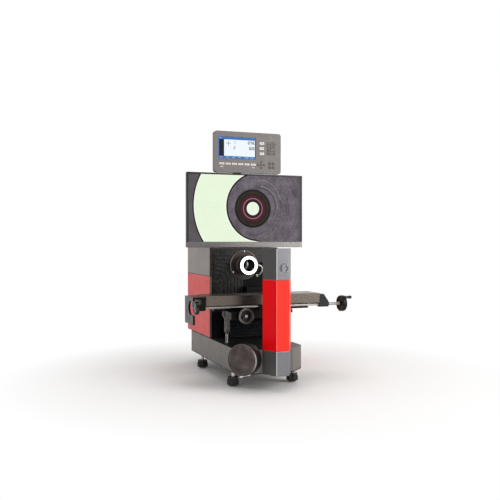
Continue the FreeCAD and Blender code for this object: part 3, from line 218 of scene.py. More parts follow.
def paint(name, colour, rough=0.42, mottle=0.05, flake=0.0, shine=0.5, coat=0.0, masks=()):
    """Sprayed paint: mottle, orange peel and uneven gloss. Masks are (factor maker, colour) pairs."""
    s = Shader(name)
    tint = s.mottled(colour, mottle, 14)
    for make_factor, other in masks:
        tint = s.mix(make_factor(s), tint, s.mottled(other, mottle, 18))
    s.link(tint, "Base Color")
    s.link(s.spread(s.noise(30, 5), rough - 0.05, rough + 0.06), "Roughness")
    s.fixed(metallic=flake, specular_ior_level=shine, coat_weight=coat, coat_roughness=0.15)
    s.bump(s.noise(900, 2), 0.00004, 0.6)
    return s.material


def plastic(name, colour, rough=0.5, grain=0.00006, mottle=0.06, shine=0.4, masks=()):
    """Moulded plastic with a fine spark-eroded grain."""
    s = Shader(name)
    tint = s.mottled(colour, mottle, 40, 3)
    for make_factor, other in masks:
        tint = s.mix(make_factor(s), tint, s.mottled(other, mottle, 40, 3))
    s.link(tint, "Base Color")
    s.link(s.spread(s.noise(60, 4), rough - 0.05, rough + 0.07), "Roughness")
    s.fixed(specular_ior_level=shine)
    s.bump(s.noise(1400, 3), grain, 0.8)
    return s.material


def metal(name, colour, rough=0.3, stretch=(1, 1, 1), scale=300, grain=0.00003, mottle=0.12, metallic=1.0):
    """Metal with machining marks; stretch sets their direction."""
    s = Shader(name)
    s.fixed(metallic=metallic)
    marks = s.noise(scale, 4, stretch)
    s.link(s.uneven(marks, colour, mottle), "Base Color")
    s.link(s.spread(marks, rough - 0.08, rough + 0.1), "Roughness")
    s.bump(marks, grain, 0.7)
    return s.material


def turned_metal(
    name, colour, centre, axis, rough=0.3, pitch=0.0006, mottle=0.1, metallic=1.0, bands=(), shine=0.5
):
    """Lathe-turned part: fine rings about an axis. Bands are (inner radius, outer radius, colour)."""
    s = Shader(name)
    s.fixed(metallic=metallic, specular_ior_level=shine)
    radius = s.radius(centre, axis)
    rings = s.rings(radius, 1 / pitch, 2.0)
    tint = s.uneven(rings, colour, mottle)
    for inner, outer, other in bands:
        beyond, within = s.math("GREATER_THAN", radius, inner), s.math("LESS_THAN", radius, outer)
        share = s.math("MULTIPLY", beyond, within)
        tint = s.mix(share, tint, s.uneven(rings, other, mottle))
    s.link(tint, "Base Color")
    s.link(s.spread(rings, rough - 0.06, rough + 0.08), "Roughness")
    s.bump(rings, 0.00002, 0.8)
    return s.material


def threaded(name, colour, axis, pitch, rough=0.28, depth=0.0006):
    """Screw thread shown as waves along an axis, its grooves painted darker as painted shade. At scale 1
    the texture's waves are 0.314 apart.
    """
    s = Shader(name)
    s.fixed(metallic=1.0, roughness=rough)
    wave = s.add("ShaderNodeTexWave", Vector=s.place, wave_type="BANDS", bands_direction=axis)
    wave.inputs["Distortion"].default_value = 0.0
    wave.inputs["Scale"].default_value = 0.314 / pitch
    # Painted shade: the grooves are darker than the crests.
    s.link(s.ramp(wave.outputs["Fac"], (0.0, shade(colour, 0.35)), (0.7, colour)), "Base Color")
    s.bump(wave.outputs["Fac"], depth, 1.0)
    return s.material


def lit_surface(shader, tint, strength=1.0):
    """Part of a lit display: its colour is the light that it gives out."""
    shader.link(tint, "Emission Color")
    black = (0.004, 0.004, 0.004, 1)
    shader.fixed(base_color=black, roughness=0.5, specular_ior_level=0.1, emission_strength=strength)
    return shader.material


def lit(name, colour, mottle=0.03, scale=60, strength=1.0):
    """Lit area of one colour, slightly uneven."""
    s = Shader(name)
    return lit_surface(s, s.mottled(colour, mottle, scale), strength)


def coated_glass(name, colour):
    """Dark coated lens with a coloured sheen."""
    s = Shader(name)
    s.link(s.mottled(colour, 0.5, 30, 2), "Base Color")
    s.fixed(roughness=0.04, coat_weight=1.0, coat_roughness=0.02)
    return s.material


GREY = srgb("857c76")
COLUMN_GREY = srgb("7f7f82")
SIDE_RED = (0.70, 0.012, 0.006)
STEEL = srgb("c2bcb6")


def facing_front(s):
    """1 where a surface faces the front."""
    return s.facing(FRONT)


def facing_up(s):
    """1 where a surface faces up."""
    return s.facing(UP)


def turned_away(s):
    """1 on the sides and rounded edges of parts that face the front."""
    return s.math("SUBTRACT", 1.0, s.facing(FRONT, 0.8, 0.96))


def housing_looks():
    """Paints of the housing, base and column."""
    # A dark tone for the upper panels' front lips that also paints shade at the panel joints and under the
    # base, a near black that paints shade on the base's upward faces, and a grey for the red panels' front
    # lips.
    lip_shade_and_highlight, lip_grey, base_top_shade = srgb("211c1a"), srgb("5a504b"), srgb("131211")
    base_low, base_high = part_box("base_casting")
    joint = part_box("side_panels_lower")[1].z

    # Painted shadow along the base's lower edge.
    def underside_shade(s):
        return s.math("SUBTRACT", 1.0, s.along("Z", base_low.z + 5 * MM, base_low.z + 6 * MM))

    # Painted shade in the joints above and below the red panels.
    def joint_shade(s):
        above = s.along("Z", joint - 3.2 * MM, joint - 2.8 * MM)
        clear = s.along("Z", base_high.z + 2.8 * MM, base_high.z + 3.2 * MM)
        return s.math("MAXIMUM", above, s.math("SUBTRACT", 1.0, clear))

    # The base's upward faces are painted near black as painted shade, and its lower edge carries a painted
    # shadow line.
    base_shades = [(facing_up, base_top_shade), (underside_shade, lip_shade_and_highlight)]
    grey_marks = [(facing_front, lip_shade_and_highlight)]
    # Grey front lips on the red panels, with painted shade at their joints.
    red_lips_and_joint_shade = [(facing_front, lip_grey), (joint_shade, lip_shade_and_highlight)]
    # Column red: a warm painted sheen on the front, painted shade on the cut face and a painted highlight
    # on the ridge.
    band_lit_front, band_shaded_cut, band_ridge_highlight = (0.80, 0.035, 0.022), (0.80, 0.002, 0.006), srgb("ffb4a8")
    return {
        "base_casting": paint("base_grey", srgb("665f5a"), 0.44, 0.06, 0.1, masks=base_shades),
        "housing_frame": paint("recess_black", srgb("0c0b0b"), 0.6, shine=0.1),
        "side_panels_upper": paint("side_grey", GREY, 0.42, 0.04, 0.1, 0.3, 0.1, grey_marks),
        "side_panels_lower": paint("side_red", SIDE_RED, 0.42, 0.03, 0.0, 0.3, 0.1, red_lips_and_joint_shade),
        "top_plate": paint("lid_dark", srgb("262423"), 0.45, shine=0.3),
        "rear_panel": paint("rear_grey", srgb("6f6a66"), 0.45),
        # Column grey: the cut face is painted darker as painted shade and the ridge lighter as a painted
        # highlight.
        "column_covers": column_look("column_grey", COLUMN_GREY, srgb("545252"), srgb("dededf"), 0.85),
        "column_band": column_look("column_red", band_lit_front, band_shaded_cut, band_ridge_highlight, 0.0),
        "column_spine": paint("spine_black", srgb("141312"), 0.5, 0.08, shine=0.15),
    }


def column_look(name, front, shaded_cut, ridge_highlight, flake):
    """Column paint: its front, its cut face darkened as painted shade, and a painted highlight on the
    ridge between them.
    """
    s = Shader(name)
    # Masks of the cut face, which gets painted shade, and of the ridge, which gets a painted highlight.
    on_cut = s.facing(CUT_FACE, 0.93, 0.98)
    on_ridge_highlight = s.facing(RIDGE, 0.9, 0.95)
    tint = s.mix(on_cut, s.mottled(front, 0.03, 14), s.mottled(shaded_cut, 0.03, 14))
    s.link(s.mix(on_ridge_highlight, tint, s.mottled(ridge_highlight, 0.04, 60)), "Base Color")
    s.link(s.math("SUBTRACT", flake, s.math("MULTIPLY", on_cut, flake * 0.9)), "Metallic")
    s.link(s.spread(s.noise(30, 5), 0.34, 0.44), "Roughness")
    s.fixed(specular_ior_level=0.1)
    s.bump(s.noise(900, 2), 0.00004, 0.6)
    return s.material


def plug_look():
    """Round plug whose groove is painted near black as painted shade, so its two key arcs show."""
    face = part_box("lamp_plug")[0].y
    s = Shader("plug_grey")
    # Painted shade: the groove's floor is painted near black.
    depth = s.along("Y", face + 0.1 * MM, face + 0.4 * MM)
    tint = s.mix(depth, s.mottled(COLUMN_GREY, 0.04, 40), s.mottled(srgb("080808"), 0.1, 40))
    s.link(tint, "Base Color")
    s.link(s.spread(s.noise(60), 0.38, 0.46), "Roughness")
    s.fixed(metallic=0.6)
    s.bump(s.noise(900, 2), 0.00004, 0.6)
    return s.material


def optics_looks():
    """Lens, ring light and lamp."""
    # The two lighter rings on the flange are painted highlights on its edges.
    lip_shade_and_highlight = [(62 * MM, 64.5 * MM, srgb("8a7d74")), (52 * MM, 53.5 * MM, srgb("5c524b"))]
    flange = turned_metal("flange_metal", srgb("36302d"), LENS, FRONT, 0.36, 0.002, 0.5, 0.5, lip_shade_and_highlight, 0.3)
    barrel = turned_metal("barrel_black", srgb("4c423d"), LENS, FRONT, 0.3, 0.003, 0.5, 0.35)
    # Sides and rounded edges of the ribs are painted lighter as painted highlights.
    rib_highlights = [(turned_away, srgb("4a4744"))]
    return {
        "lens_flange": flange,
        "flange_screws": metal("screw_bright", srgb("efefef"), 0.16, mottle=0.04),
        "lens_barrel": barrel,
        "lens_glass": coated_glass("lens_coating", srgb("17181b")),
        "lens_tube": barrel,
        "camera": metal("camera_metal", srgb("6c6d70"), 0.35),
        "ring_light_body": plastic("ring_black", srgb("111111"), 0.4),
        "ring_light_diffuser": lit("ring_glow", (1.0, 1.0, 1.0), 0.01, 200, 3.0),
        "lead_gland": plastic("gland_white", srgb("e4e2de"), 0.4),
        "ribbed_cover": plastic("ribbed_black", srgb("121110"), 0.26, 0.00001, masks=rib_highlights),
        "lamp_plug": plug_look(),
        "lamp_barrel": barrel,
        "lamp_lens": coated_glass("lamp_coating", srgb("38404a")),
    }


def focus_look():
    """Dark handwheel with a satin rim and a bright hub."""
    bands = [(22 * MM, 40 * MM, srgb("7d756f")), (0.0, 6 * MM, srgb("e8e4e0"))]
    centre = middle_of("focus_wheel")
    return turned_metal("focus_metal", srgb("3b3735"), centre, FRONT, 0.3, metallic=0.8, bands=bands)


def bracket_look():
    """Black casting with the outside of its guard plate in a cold dark grey."""
    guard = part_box("end_bracket_left")[0].x + 8 * MM

    def on_guard(s):
        return s.math("SUBTRACT", 1.0, s.along("X", guard - 1 * MM, guard + 1 * MM))

    guard_mark = [(on_guard, srgb("060608"))]
    return paint("bracket_black", srgb("17120f"), 0.26, 0.3, 0.4, 0.15, masks=guard_mark)


def disc_look():
    """Large moulded disc: ringed brown-grey face, dark rim with a painted highlight where it faces the
    front, black wall.
    """
    s = Shader("disc_face")
    blotches = s.noise(26, 6)
    face = s.ramp(blotches, (0.32, srgb("3d3533")), (0.5, srgb("504745")), (0.7, srgb("645b58")))
    wall = s.mottled(srgb("151414"), 0.1, 40)
    edge = s.mottled(srgb("554d4a"), 0.08, 60)
    # Painted highlight on the rim where it faces the front.
    edge = s.mix(s.facing(FRONT, 0.85, 0.97), edge, (*srgb("8d8783"), 1))
    forward, slope = s.facing(OUT, 0.85, 0.95), s.facing(OUT, 0.25, 0.35)
    radius = s.radius(middle_of("disc_handwheel"), OUT)
    rings = s.rings(radius, 260.0, 3.0)
    ringed = s.ramp(rings, (0.35, (0.62, 0.62, 0.62)), (0.65, (1.3, 1.3, 1.3)))
    face = s.mix(1.0, face, ringed, "MULTIPLY")
    s.link(s.mix(forward, s.mix(slope, wall, edge), face), "Base Color")
    s.link(s.spread(blotches, 0.4, 0.55), "Roughness")
    s.link(s.math("MULTIPLY", forward, 0.3), "Metallic")
    s.fixed(specular_ior_level=0.15)
    s.bump(rings, 0.00006, 0.8)
    return s.material


def slide_looks():
    """Vertical slide, focus slide and table."""
    black_iron = paint("black_iron", srgb("0d0c0b"), 0.36, 0.1, shine=0.1)
    steel = metal("steel", STEEL, 0.26)
    # Sides and rounded edges of the bellows folds are painted lighter as painted highlights.
    fold_highlights = [(turned_away, srgb("222528"))]
    return {
        "vertical_rails": steel,
        "bellows": plastic("bellows_black", srgb("0b0b0c"), 0.3, 0.00004, masks=fold_highlights),
        "elevating_screw": threaded("lift_thread", STEEL, "Z", 3 * MM),
        "elevating_nut": metal("nut_metal", srgb("5d5754"), 0.24, scale=120, mottle=0.5),
        "vertical_carriage": black_iron,
        "focus_wheel": focus_look(),
        "focus_handle": plastic("handle_black", srgb("0c0c0c"), 0.25, shine=0.6),
        "cross_slide": black_iron,
        "lock_knob": plastic("knob_black", srgb("0f0f0f"), 0.35),
        "table": metal("table_steel", srgb("6f665e"), 0.28, (0.15, 6, 6), 260, 0.00001, 0.07),
        "end_bracket_left": bracket_look(),
        "end_bracket_right": plastic("bracket_gloss", srgb("0d0b0a"), 0.2, 0.00001, shine=0.5),
        "lead_screw": threaded("lead_thread", srgb("e6e2de"), "X", 4 * MM),
        "left_handwheel": plastic("wheel_black", srgb("0b0b0b"), 0.2, 0.00001, shine=0.5),
        "right_handwheel": plastic("right_black", srgb("12100f"), 0.36, 0.00002, shine=0.15),
        "crank_handle": plastic("crank_black", srgb("0d0c0c"), 0.2, 0.00001, shine=0.5),
        "disc_bearing": steel,
        "disc_shaft": steel,
        "disc_handwheel": disc_look(),
        "lift_lock_lever": metal("lever_bright", srgb("dcdad8"), 0.22, mottle=0.05),
    }


def foot_look():
    """Black moulded knob on a steel stem and pad."""
    knob_low, knob_top = 7.2 * MM, 39.2 * MM
    s = Shader("foot_black")
    above = s.along("Z", knob_top, knob_top + 0.4 * MM)
    below = s.math("SUBTRACT", 1.0, s.along("Z", knob_low - 0.4 * MM, knob_low))
    steel = s.math("MAXIMUM", above, below)
    tint = s.mix(steel, s.mottled(srgb("0e0e0e"), 0.1, 40), s.mottled(STEEL, 0.08, 200))
    s.link(tint, "Base Color")
    s.link(steel, "Metallic")
    s.link(s.spread(s.noise(60), 0.14, 0.24), "Roughness")
    s.bump(s.noise(1400), 0.00001, 0.6)
    return s.material


def monitor_rim_look():
    """Dark rim of the monitor, paler on its chin."""
    chin = screen_low.z - 0.5 * MM
    s = Shader("monitor_rim")
    on_chin = s.math("SUBTRACT", 1.0, s.along("Z", chin, chin + 1 * MM))
    tint = s.mix(on_chin, s.mottled(srgb("2b2a29"), 0.06, 40), s.mottled(srgb("716d6c"), 0.04, 40))
    s.link(tint, "Base Color")
    s.link(s.spread(s.noise(60), 0.28, 0.36), "Roughness")
    s.fixed(metallic=0.75)
    s.bump(s.noise(1400), 0.00004, 0.6)
    return s.material


def monitor_looks():
    """Monitor, readout, their mount and the mains switch."""
    post = paint("post_paint", srgb("2b2a2a"), 0.4)
    key_dark = plastic("key_dark", srgb("4a4542"), 0.5)
    key_light = plastic("key_light", srgb("d2cdca"), 0.5)
    # The case's upward faces are painted darker as painted shade.
    top_shade = [(facing_up, srgb("57514e"))]
    return {
        "monitor_frame": monitor_rim_look(),
        "monitor_glass": lit("screen_glass", srgb("0a0a0c"), 0.2),
        "monitor_shell": plastic("monitor_shell", srgb("2e2c2b"), 0.45),
        "monitor_bracket": post,
        "monitor_post": post,
        "readout_case": plastic("readout_case", srgb("6b6563"), 0.42, masks=top_shade),
        "readout_screen": lit("readout_glass", srgb("12182c"), 0.2),
        "keys_soft": key_light,
        "keys_axis": key_light,
        "keys_number": key_dark,
        "keys_command": key_dark,
        "power_inlet": plastic("inlet_black", srgb("1a1a1a"), 0.42),
        "power_switch": plastic("switch_black", srgb("111111"), 0.3),
    }


SOFT_EDGES = {
    "base_casting": 2.0,
    "side_panels_upper": 1.0,
    "side_panels_lower": 1.0,
    "housing_frame": 1.0,
    "top_plate": 1.2,
    "column_covers": 2.0,
    "column_band": 2.0,
    "ribbed_cover": 1.4,
    "bellows": 0.6,
    "table": 2.5,
    "end_bracket_left": 1.5,
    "end_bracket_right": 2.0,
    "vertical_carriage": 1.2,
    "cross_slide": 0.8,
    "lift_lock_lever": 1.0,
    "disc_handwheel": 1.0,
    "monitor_frame": 1.0,
    "monitor_shell": 2.0,
    "monitor_post": 1.5,
    "monitor_bracket": 1.0,
    "readout_case": 2.0,
    "keys_soft": 0.8,
    "keys_axis": 0.8,
    "keys_number": 0.8,
    "keys_command": 0.8,
    "camera": 1.5,
    "power_switch": 0.6,
}


def dress_nodes():
    """Materials on every CAD node, and rounded edges where the real ones are rounded."""
    looks = {**housing_looks(), **optics_looks(), **slide_looks(), **monitor_looks()}
    foot = foot_look()
    for corner in ("front_left", "front_right", "rear_left", "rear_right"):
        looks[f"foot_{corner}"] = foot
    for name, material in looks.items():
        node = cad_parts[name]
        node.data.materials.clear()
        node.data.materials.append(material)
        if name in SOFT_EDGES:
            weld = node.modifiers.new("weld", "WELD")
            weld.merge_threshold = 0.01 * MM
            bevel = node.modifiers.new("edges", "BEVEL")
            bevel.width = SOFT_EDGES[name] * MM
            bevel.segments = 2
            bevel.limit_method = "ANGLE"
            bevel.angle_limit = math.radians(35)
            bevel.use_clamp_overlap = True


# Ring light's lead, from its boss to its gland: millimetres from the optical axis
LEAD_ROUTE = [
    (46, -6, 0),
    (58, -6, -1),
    (67, -4, -9),
    (71, 0, -21),
    (69, 9, -32),
    (66, 21, -41),
    (64, 37, -48),
    (64, 52, -48),
]
LEAD_WIDE = 5 * MM


def build_lead():
    """White lead of the ring light, looping from the ring to its gland on the wall."""
    points = [Vector(LENS) + Vector(point) * MM for point in LEAD_ROUTE]
    curve = bpy.data.curves.new("ring_lead", "CURVE")
    curve.dimensions = "3D"
    curve.bevel_depth = LEAD_WIDE / 2
    curve.bevel_resolution = 6
    curve.resolution_u = 12
    curve.use_fill_caps = True
    line = curve.splines.new("NURBS")
    line.points.add(len(points) - 1)
    for point, place in zip(line.points, points):
        point.co = (*place, 1)
    line.order_u = 3
    line.use_endpoint_u = True
    lead = bpy.data.objects.new("ring_lead", curve)
    scene.collection.objects.link(lead)
    curve.materials.append(plastic("lead_white", srgb("ecebe7"), 0.35, 0.00004))
    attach(lead, "frame")
    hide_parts("ring_light_lead")


def piece(name, mesh, material, body):
    """Scene object from a mesh, riding on a CAD body."""
    made = bpy.data.objects.new(name, mesh)
    scene.collection.objects.link(made)
    made.data.materials.append(material)
    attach(made, body)
    return made


def mesh_from(name, bm):
    bmesh.ops.recalc_face_normals(bm, faces=bm.faces)
    mesh = bpy.data.meshes.new(name)
    bm.to_mesh(mesh)
    bm.free()
    return mesh


def slabs(name, outlines, front, thick):
    """One mesh of thin slabs facing -Y, each from an outline of (x, z) points."""
    bm = bmesh.new()
    for outline in outlines:
        near, far = [[bm.verts.new((x, y, z)) for x, z in outline] for y in (front, front + thick)]
        bm.faces.new(near)
        bm.faces.new(far)
        for k in range(len(outline)):
            after = (k + 1) % len(outline)
            bm.faces.new((near[k], near[after], far[after], far[k]))
    return mesh_from(name, bm)


def rectangle(x, z):
    return [(x[0], z[0]), (x[1], z[0]), (x[1], z[1]), (x[0], z[1])]


def around(centre, radius, start=0.0, end=360.0, count=96):
    """Points on a circle in the X-Z plane between two angles in degrees."""
    points = []
    for k in range(count):
        angle = math.radians(start + (end - start) * k / count)
        points.append((centre[0] + radius * math.cos(angle), centre[1] + radius * math.sin(angle)))
    return points


def turned_face(name, dark, light, centre):
    """Image of a turned metal face: rings and blotches, darker towards the picture's right edge."""
    s = Shader(name)
    coarse, fine = s.math("MULTIPLY", s.noise(22, 5), 0.4), s.math("MULTIPLY", s.noise(90, 5), 0.3)
    blotches = s.math("ADD", coarse, fine)
    rings = s.rings(s.radius((centre[0], 0, centre[1]), FRONT), 190.0, 4.0)
    blend = s.math("ADD", blotches, s.math("MULTIPLY", rings, 0.3))
    middle = tuple((a + b) / 2 for a, b in zip(dark, light))
    tint = s.ramp(blend, (0.34, dark), (0.5, middle), (0.66, light))
    edge = s.along("X", screen_high.x - 26 * MM, screen_high.x - 4 * MM)
    tint = s.mix(s.math("MULTIPLY", edge, 0.6), tint, s.mottled(srgb("4a4549"), 0.2, 30))
    return lit_surface(s, tint)


def bore_face(name, centre, reach):
    """Image of a bore: bright hole, black edge, pink ring and dark red fading to olive."""
    s = Shader(name)
    share = s.math("DIVIDE", s.radius((centre[0], 0, centre[1]), FRONT), reach)
    black, red, crimson = srgb("060604"), srgb("2c0a11"), srgb("520b20")
    rings = s.ramp(
        share,
        (0.30, srgb("e8f6dd")),
        (0.33, srgb("fdfff8")),
        (0.355, black),
        (0.42, black),
        (0.46, red),
        (0.50, srgb("4c1524")),
        (0.525, srgb("c68698")),
        (0.55, srgb("541427")),
        (0.62, red),
        (0.66, crimson),
        (0.70, red),
        (0.78, srgb("25130f")),
        (0.86, srgb("2f2913")),
        (0.90, srgb("100f08")),
        (0.93, black),
    )
    patches = s.ramp(s.noise(24, 3), (0.45, (1, 1, 1)), (0.65, srgb("a8b890")))
    return lit_surface(s, s.mix(s.spread(share, 0.0, 1.0, 0.6, 0.75), rings, patches, "MULTIPLY"))


def build_monitor_picture():
    """Live image of a turned part: pale backlight, a dark body and concentric rings."""
    pale = lit("picture_pale", srgb("e7f6db"), 0.015, 30)
    halo = lit("picture_halo", srgb("fbfff4"), 0.005, 30)
    edge_black = lit("picture_black", srgb("10130c"), 0.2)
    outside = lit("picture_outside", srgb("555054"), 0.12, 30)
    field, field_reach = (0.0276, 0.7377), 295.5 * MM
    body, body_reach = (0.0351, 0.7358), 153.5 * MM
    bore, bore_reach = (0.0053, 0.7276), 86.5 * MM
    body_grey = turned_face("picture_body", srgb("3c353b"), srgb("7c737d"), bore)
    dark_arc = lit("picture_dark_arc", srgb("3f3845"), 0.2)
    light_arc = lit("picture_light_arc", srgb("9a92a0"), 0.15)
    green = lit("picture_green", srgb("cdeecb"), 0.02)
    left, right = screen_low.x + 0.3 * MM, screen_high.x - 0.3 * MM
    low, high = screen_low.z + 0.3 * MM, screen_high.z - 0.3 * MM
    steps = iter(range(1, 40))

    def layer(name, outline, material):
        front = screen_low.y - next(steps) * 0.06 * MM
        mesh = slabs(f"picture_{name}", [outline], front, 0.05 * MM)
        piece(f"picture_{name}", mesh, material, "monitor")

    def edge_of(circle, radius, side, count=49):
        """Left edge of a circle from bottom to top of the picture, closed along a side of the picture."""
        points = []
        for k in range(count):
            z = low + (high - low) * k / (count - 1)
            reach = math.sqrt(max(0.0, radius**2 - (z - circle[1]) ** 2))
            points.append((min(max(circle[0] - reach, left + 0.1 * MM), right - 0.1 * MM), z))
        return points + [(side, high), (side, low)]

    def part_ring(name, centre, radius, width, start, end, material):
        outer = around(centre, radius + width / 2, start, end, 40)
        inner = around(centre, radius - width / 2, start, end, 40)
        layer(name, outer + inner[::-1], material)

    layer("backlight", rectangle((left, right), (low, high)), pale)
    layer("field_halo", edge_of(field, field_reach, left), halo)
    layer("field_edge", edge_of(field, field_reach + 3.4 * MM, left), edge_black)
    layer("outside", edge_of(field, field_reach + 9.4 * MM, left), outside)
    layer("body_halo", edge_of(body, body_reach + 7 * MM, right), halo)
    layer("body_edge", edge_of(body, body_reach + 3.4 * MM, right), edge_black)
    layer("body", edge_of(body, body_reach - 3.8 * MM, right), body_grey)
    part_ring("groove_dark", (0.0301, 0.7377), 85.3 * MM, 3.6 * MM, -32, 96, dark_arc)
    part_ring("groove_light", (0.0359, 0.7408), 88.6 * MM, 2.2 * MM, -8, 88, light_arc)
    part_ring("groove_outer", (0.0381, 0.7555), 102 * MM, 1.6 * MM, 8, 98, light_arc)
    layer("bore", around(bore, bore_reach), bore_face("picture_bore", bore, bore_reach))
    layer("cross_line", rectangle((-0.256, -0.131), (0.7295, 0.7307)), green)


DIGITS = {
    "0": "abcdef",
    "1": "bc",
    "2": "abged",
    "3": "abgcd",
    "4": "fgbc",
    "5": "afgcd",
    "6": "afgcde",
    "7": "abc",
    "8": "abcdefg",
    "9": "abcdfg",
    "-": "g",
}


def segments(digit, x, z, wide, high, stroke):
    """Outlines of one seven-segment digit with its lower left corner at (x, z)."""
    half = high / 2
    spans = {
        "a": ((x, x + wide), (z + high - stroke, z + high)),
        "b": ((x + wide - stroke, x + wide), (z + half, z + high)),
        "c": ((x + wide - stroke, x + wide), (z, z + half)),
        "d": ((x, x + wide), (z, z + stroke)),
        "e": ((x, x + stroke), (z, z + half)),
        "f": ((x, x + stroke), (z + half, z + high)),
        "g": ((x, x + wide), (z + half - stroke / 2, z + half + stroke / 2)),
    }
    return [rectangle(*spans[letter]) for letter in DIGITS[digit]]


def build_readout_picture():
    """Readout page: blue bars, a dark menu column, a cross mark and two rows of plain numbers."""
    blue = lit("lcd_blue", srgb("3c72b4"), 0.12, 40)
    navy = lit("lcd_navy", srgb("14162a"), 0.2)
    white = lit("lcd_white", srgb("eef7fc"), 0.01)
    ink = lit("lcd_ink", srgb("39415a"), 0.1)
    pale_blue = lit("lcd_pale_blue", srgb("a9cdf0"), 0.05)
    left, right = lcd_low.x + 0.3 * MM, lcd_high.x - 0.3 * MM
    low, high = lcd_low.z + 0.3 * MM, lcd_high.z - 0.3 * MM
    page_low, page_high = low + 11 * MM, high - 12.5 * MM

    def area(name, outlines, material, step):
        mesh = slabs(f"lcd_{name}", outlines, lcd_low.y - step * 0.08 * MM, 0.056 * MM)
        piece(f"lcd_{name}", mesh, material, "readout")

    area("ground", [rectangle((left, right), (low, high))], blue, 1)
    area("menu", [rectangle((left + 4 * MM, left + 27 * MM), (page_low, page_high))], navy, 2)
    area("page", [rectangle((left + 27.2 * MM, right - 3.7 * MM), (page_low, page_high))], white, 2)
    edge_span = (page_low - 2 * MM, page_high + 2 * MM)
    area("page_edge", [rectangle((right - 3.5 * MM, right), edge_span)], navy, 2)
    pitch = 7.6 * MM
    x, z = left + 47 * MM, high - 29 * MM
    marks = [
        rectangle((x - 11 * MM, x + 11 * MM), (z - 1 * MM, z + 1 * MM)),
        rectangle((x - 1 * MM, x + 1 * MM), (z - 11 * MM, z + 11 * MM)),
    ]
    for row, digits in enumerate(("-0745", "1620")):
        base = high - (30.8 + 24.6 * row) * MM
        x = right - pitch * len(digits) - 5 * MM
        for digit in digits:
            marks += segments(digit, x, base, 5.8 * MM, 14 * MM, 2.2 * MM)
            x += pitch
        marks += segments(str(row + 1), left + 72 * MM, base + 1 * MM, 7 * MM, 12 * MM, 2 * MM)
    area("marks", marks, ink, 3)
    labels = [rectangle((left + 4 * MM, left + 16 * MM), (high - 7 * MM, high - 5 * MM))]
    labels.append(rectangle((right - 44 * MM, right - 36 * MM), (low + 3 * MM, low + 7 * MM)))
    for number in range(6):
        x = left + (6 + 29 * number) * MM
        labels.append(rectangle((x, x + 14 * MM), (low + 4 * MM, low + 6.5 * MM)))
    area("labels", labels, pale_blue, 3)


def build_key_marks():
    """Plain digits on the number keys, bars on the soft and axis keys, and printed lines below them."""
    dark = plastic("mark_dark", srgb("6b6562"))
    pale = plastic("mark_pale", srgb("c9c4c0"))
    thick = 0.12 * MM

    def mark(name, outlines, front, material, body):
        piece(name, slabs(name, outlines, front - thick, thick), material, body)

    key, inset, rise = 10.4 * MM, 3.7 * MM, 2.6 * MM
    low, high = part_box("keys_number")
    step_x, step_z = (high.x - low.x - key) / 2, (high.z - low.z - key) / 3
    digits = []
    for row, text in enumerate(("-0-", "123", "456", "789")):
        for column, digit in enumerate(text):
            place = (low.x + column * step_x + inset, low.z + row * step_z + rise)
            digits += segments(digit, *place, 3 * MM, 5.2 * MM, 0.8 * MM)
    mark("digits_number", digits, low.y, pale, "number_keys")

    key, inset = 23.4 * MM, 5 * MM
    low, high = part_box("keys_soft")
    step = (high.x - low.x - key) / 5
    level = (low.z + 3 * MM, low.z + 5 * MM)
    starts = [low.x + step * k for k in range(6)]
    bars = [rectangle((x + inset, x + key - inset), level) for x in starts]
    mark("bars_soft", bars, low.y, dark, "soft_keys")

    level = (low.z - 11 * MM, low.z - 7.8 * MM)
    prints = [rectangle((x + inset, x + key - inset), level) for x in (starts[0], starts[-1])]
    mark("print_lines", prints, case_low.y, pale, "readout")

    key = 11.4 * MM
    low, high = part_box("keys_axis")
    step = (high.z - low.z - key) / 2
    heights = [low.z + step * k + key / 2 for k in range(3)]
    bars = [rectangle((low.x + inset, high.x - inset), (z - 1 * MM, z + 1 * MM)) for z in heights]
    mark("bars_axis", bars, low.y, dark, "axis_keys")


# Screw head: radius and height of each ring as shares of its radius, and whether it is a hexagon
HEAD_RINGS = [
    (1, -0.1, False),
    (1, 0.35, False),
    (0.86, 0.5, False),
    (0.5, 0.5, True),
    (0.5, 0.12, True),
]
HEAD_SIDES = 24


def head_ring(bm, place, reach, height, hexagon):
    """Ring of points of a screw head, round or along a hexagon."""
    points = []
    for k in range(HEAD_SIDES):
        angle = 2 * math.pi * k / HEAD_SIDES
        sector = angle % (math.pi / 3) - math.pi / 6
        out = reach * math.cos(math.pi / 6) / math.cos(sector) if hexagon else reach
        point = Vector((out * math.cos(angle), out * math.sin(angle), height))
        points.append(bm.verts.new(place @ point))
    return points


def screws(name, spots, direction, radius, material, body):
    """Round heads with a hexagonal socket, joined in one mesh."""
    turn = Vector(UP).rotation_difference(Vector(direction)).to_matrix().to_4x4()
    bm = bmesh.new()
    for spot in spots:
        place = Matrix.Translation(spot) @ turn
        rings = [head_ring(bm, place, r * radius, h * radius, flat) for r, h, flat in HEAD_RINGS]
        for low, high in zip(rings, rings[1:]):
            for k in range(HEAD_SIDES):
                after = (k + 1) % HEAD_SIDES
                bm.faces.new((low[k], low[after], high[after], high[k]))
        bm.faces.new(rings[-1])
        bm.faces.new(rings[0][::-1])
    piece(name, mesh_from(name, bm), material, body)


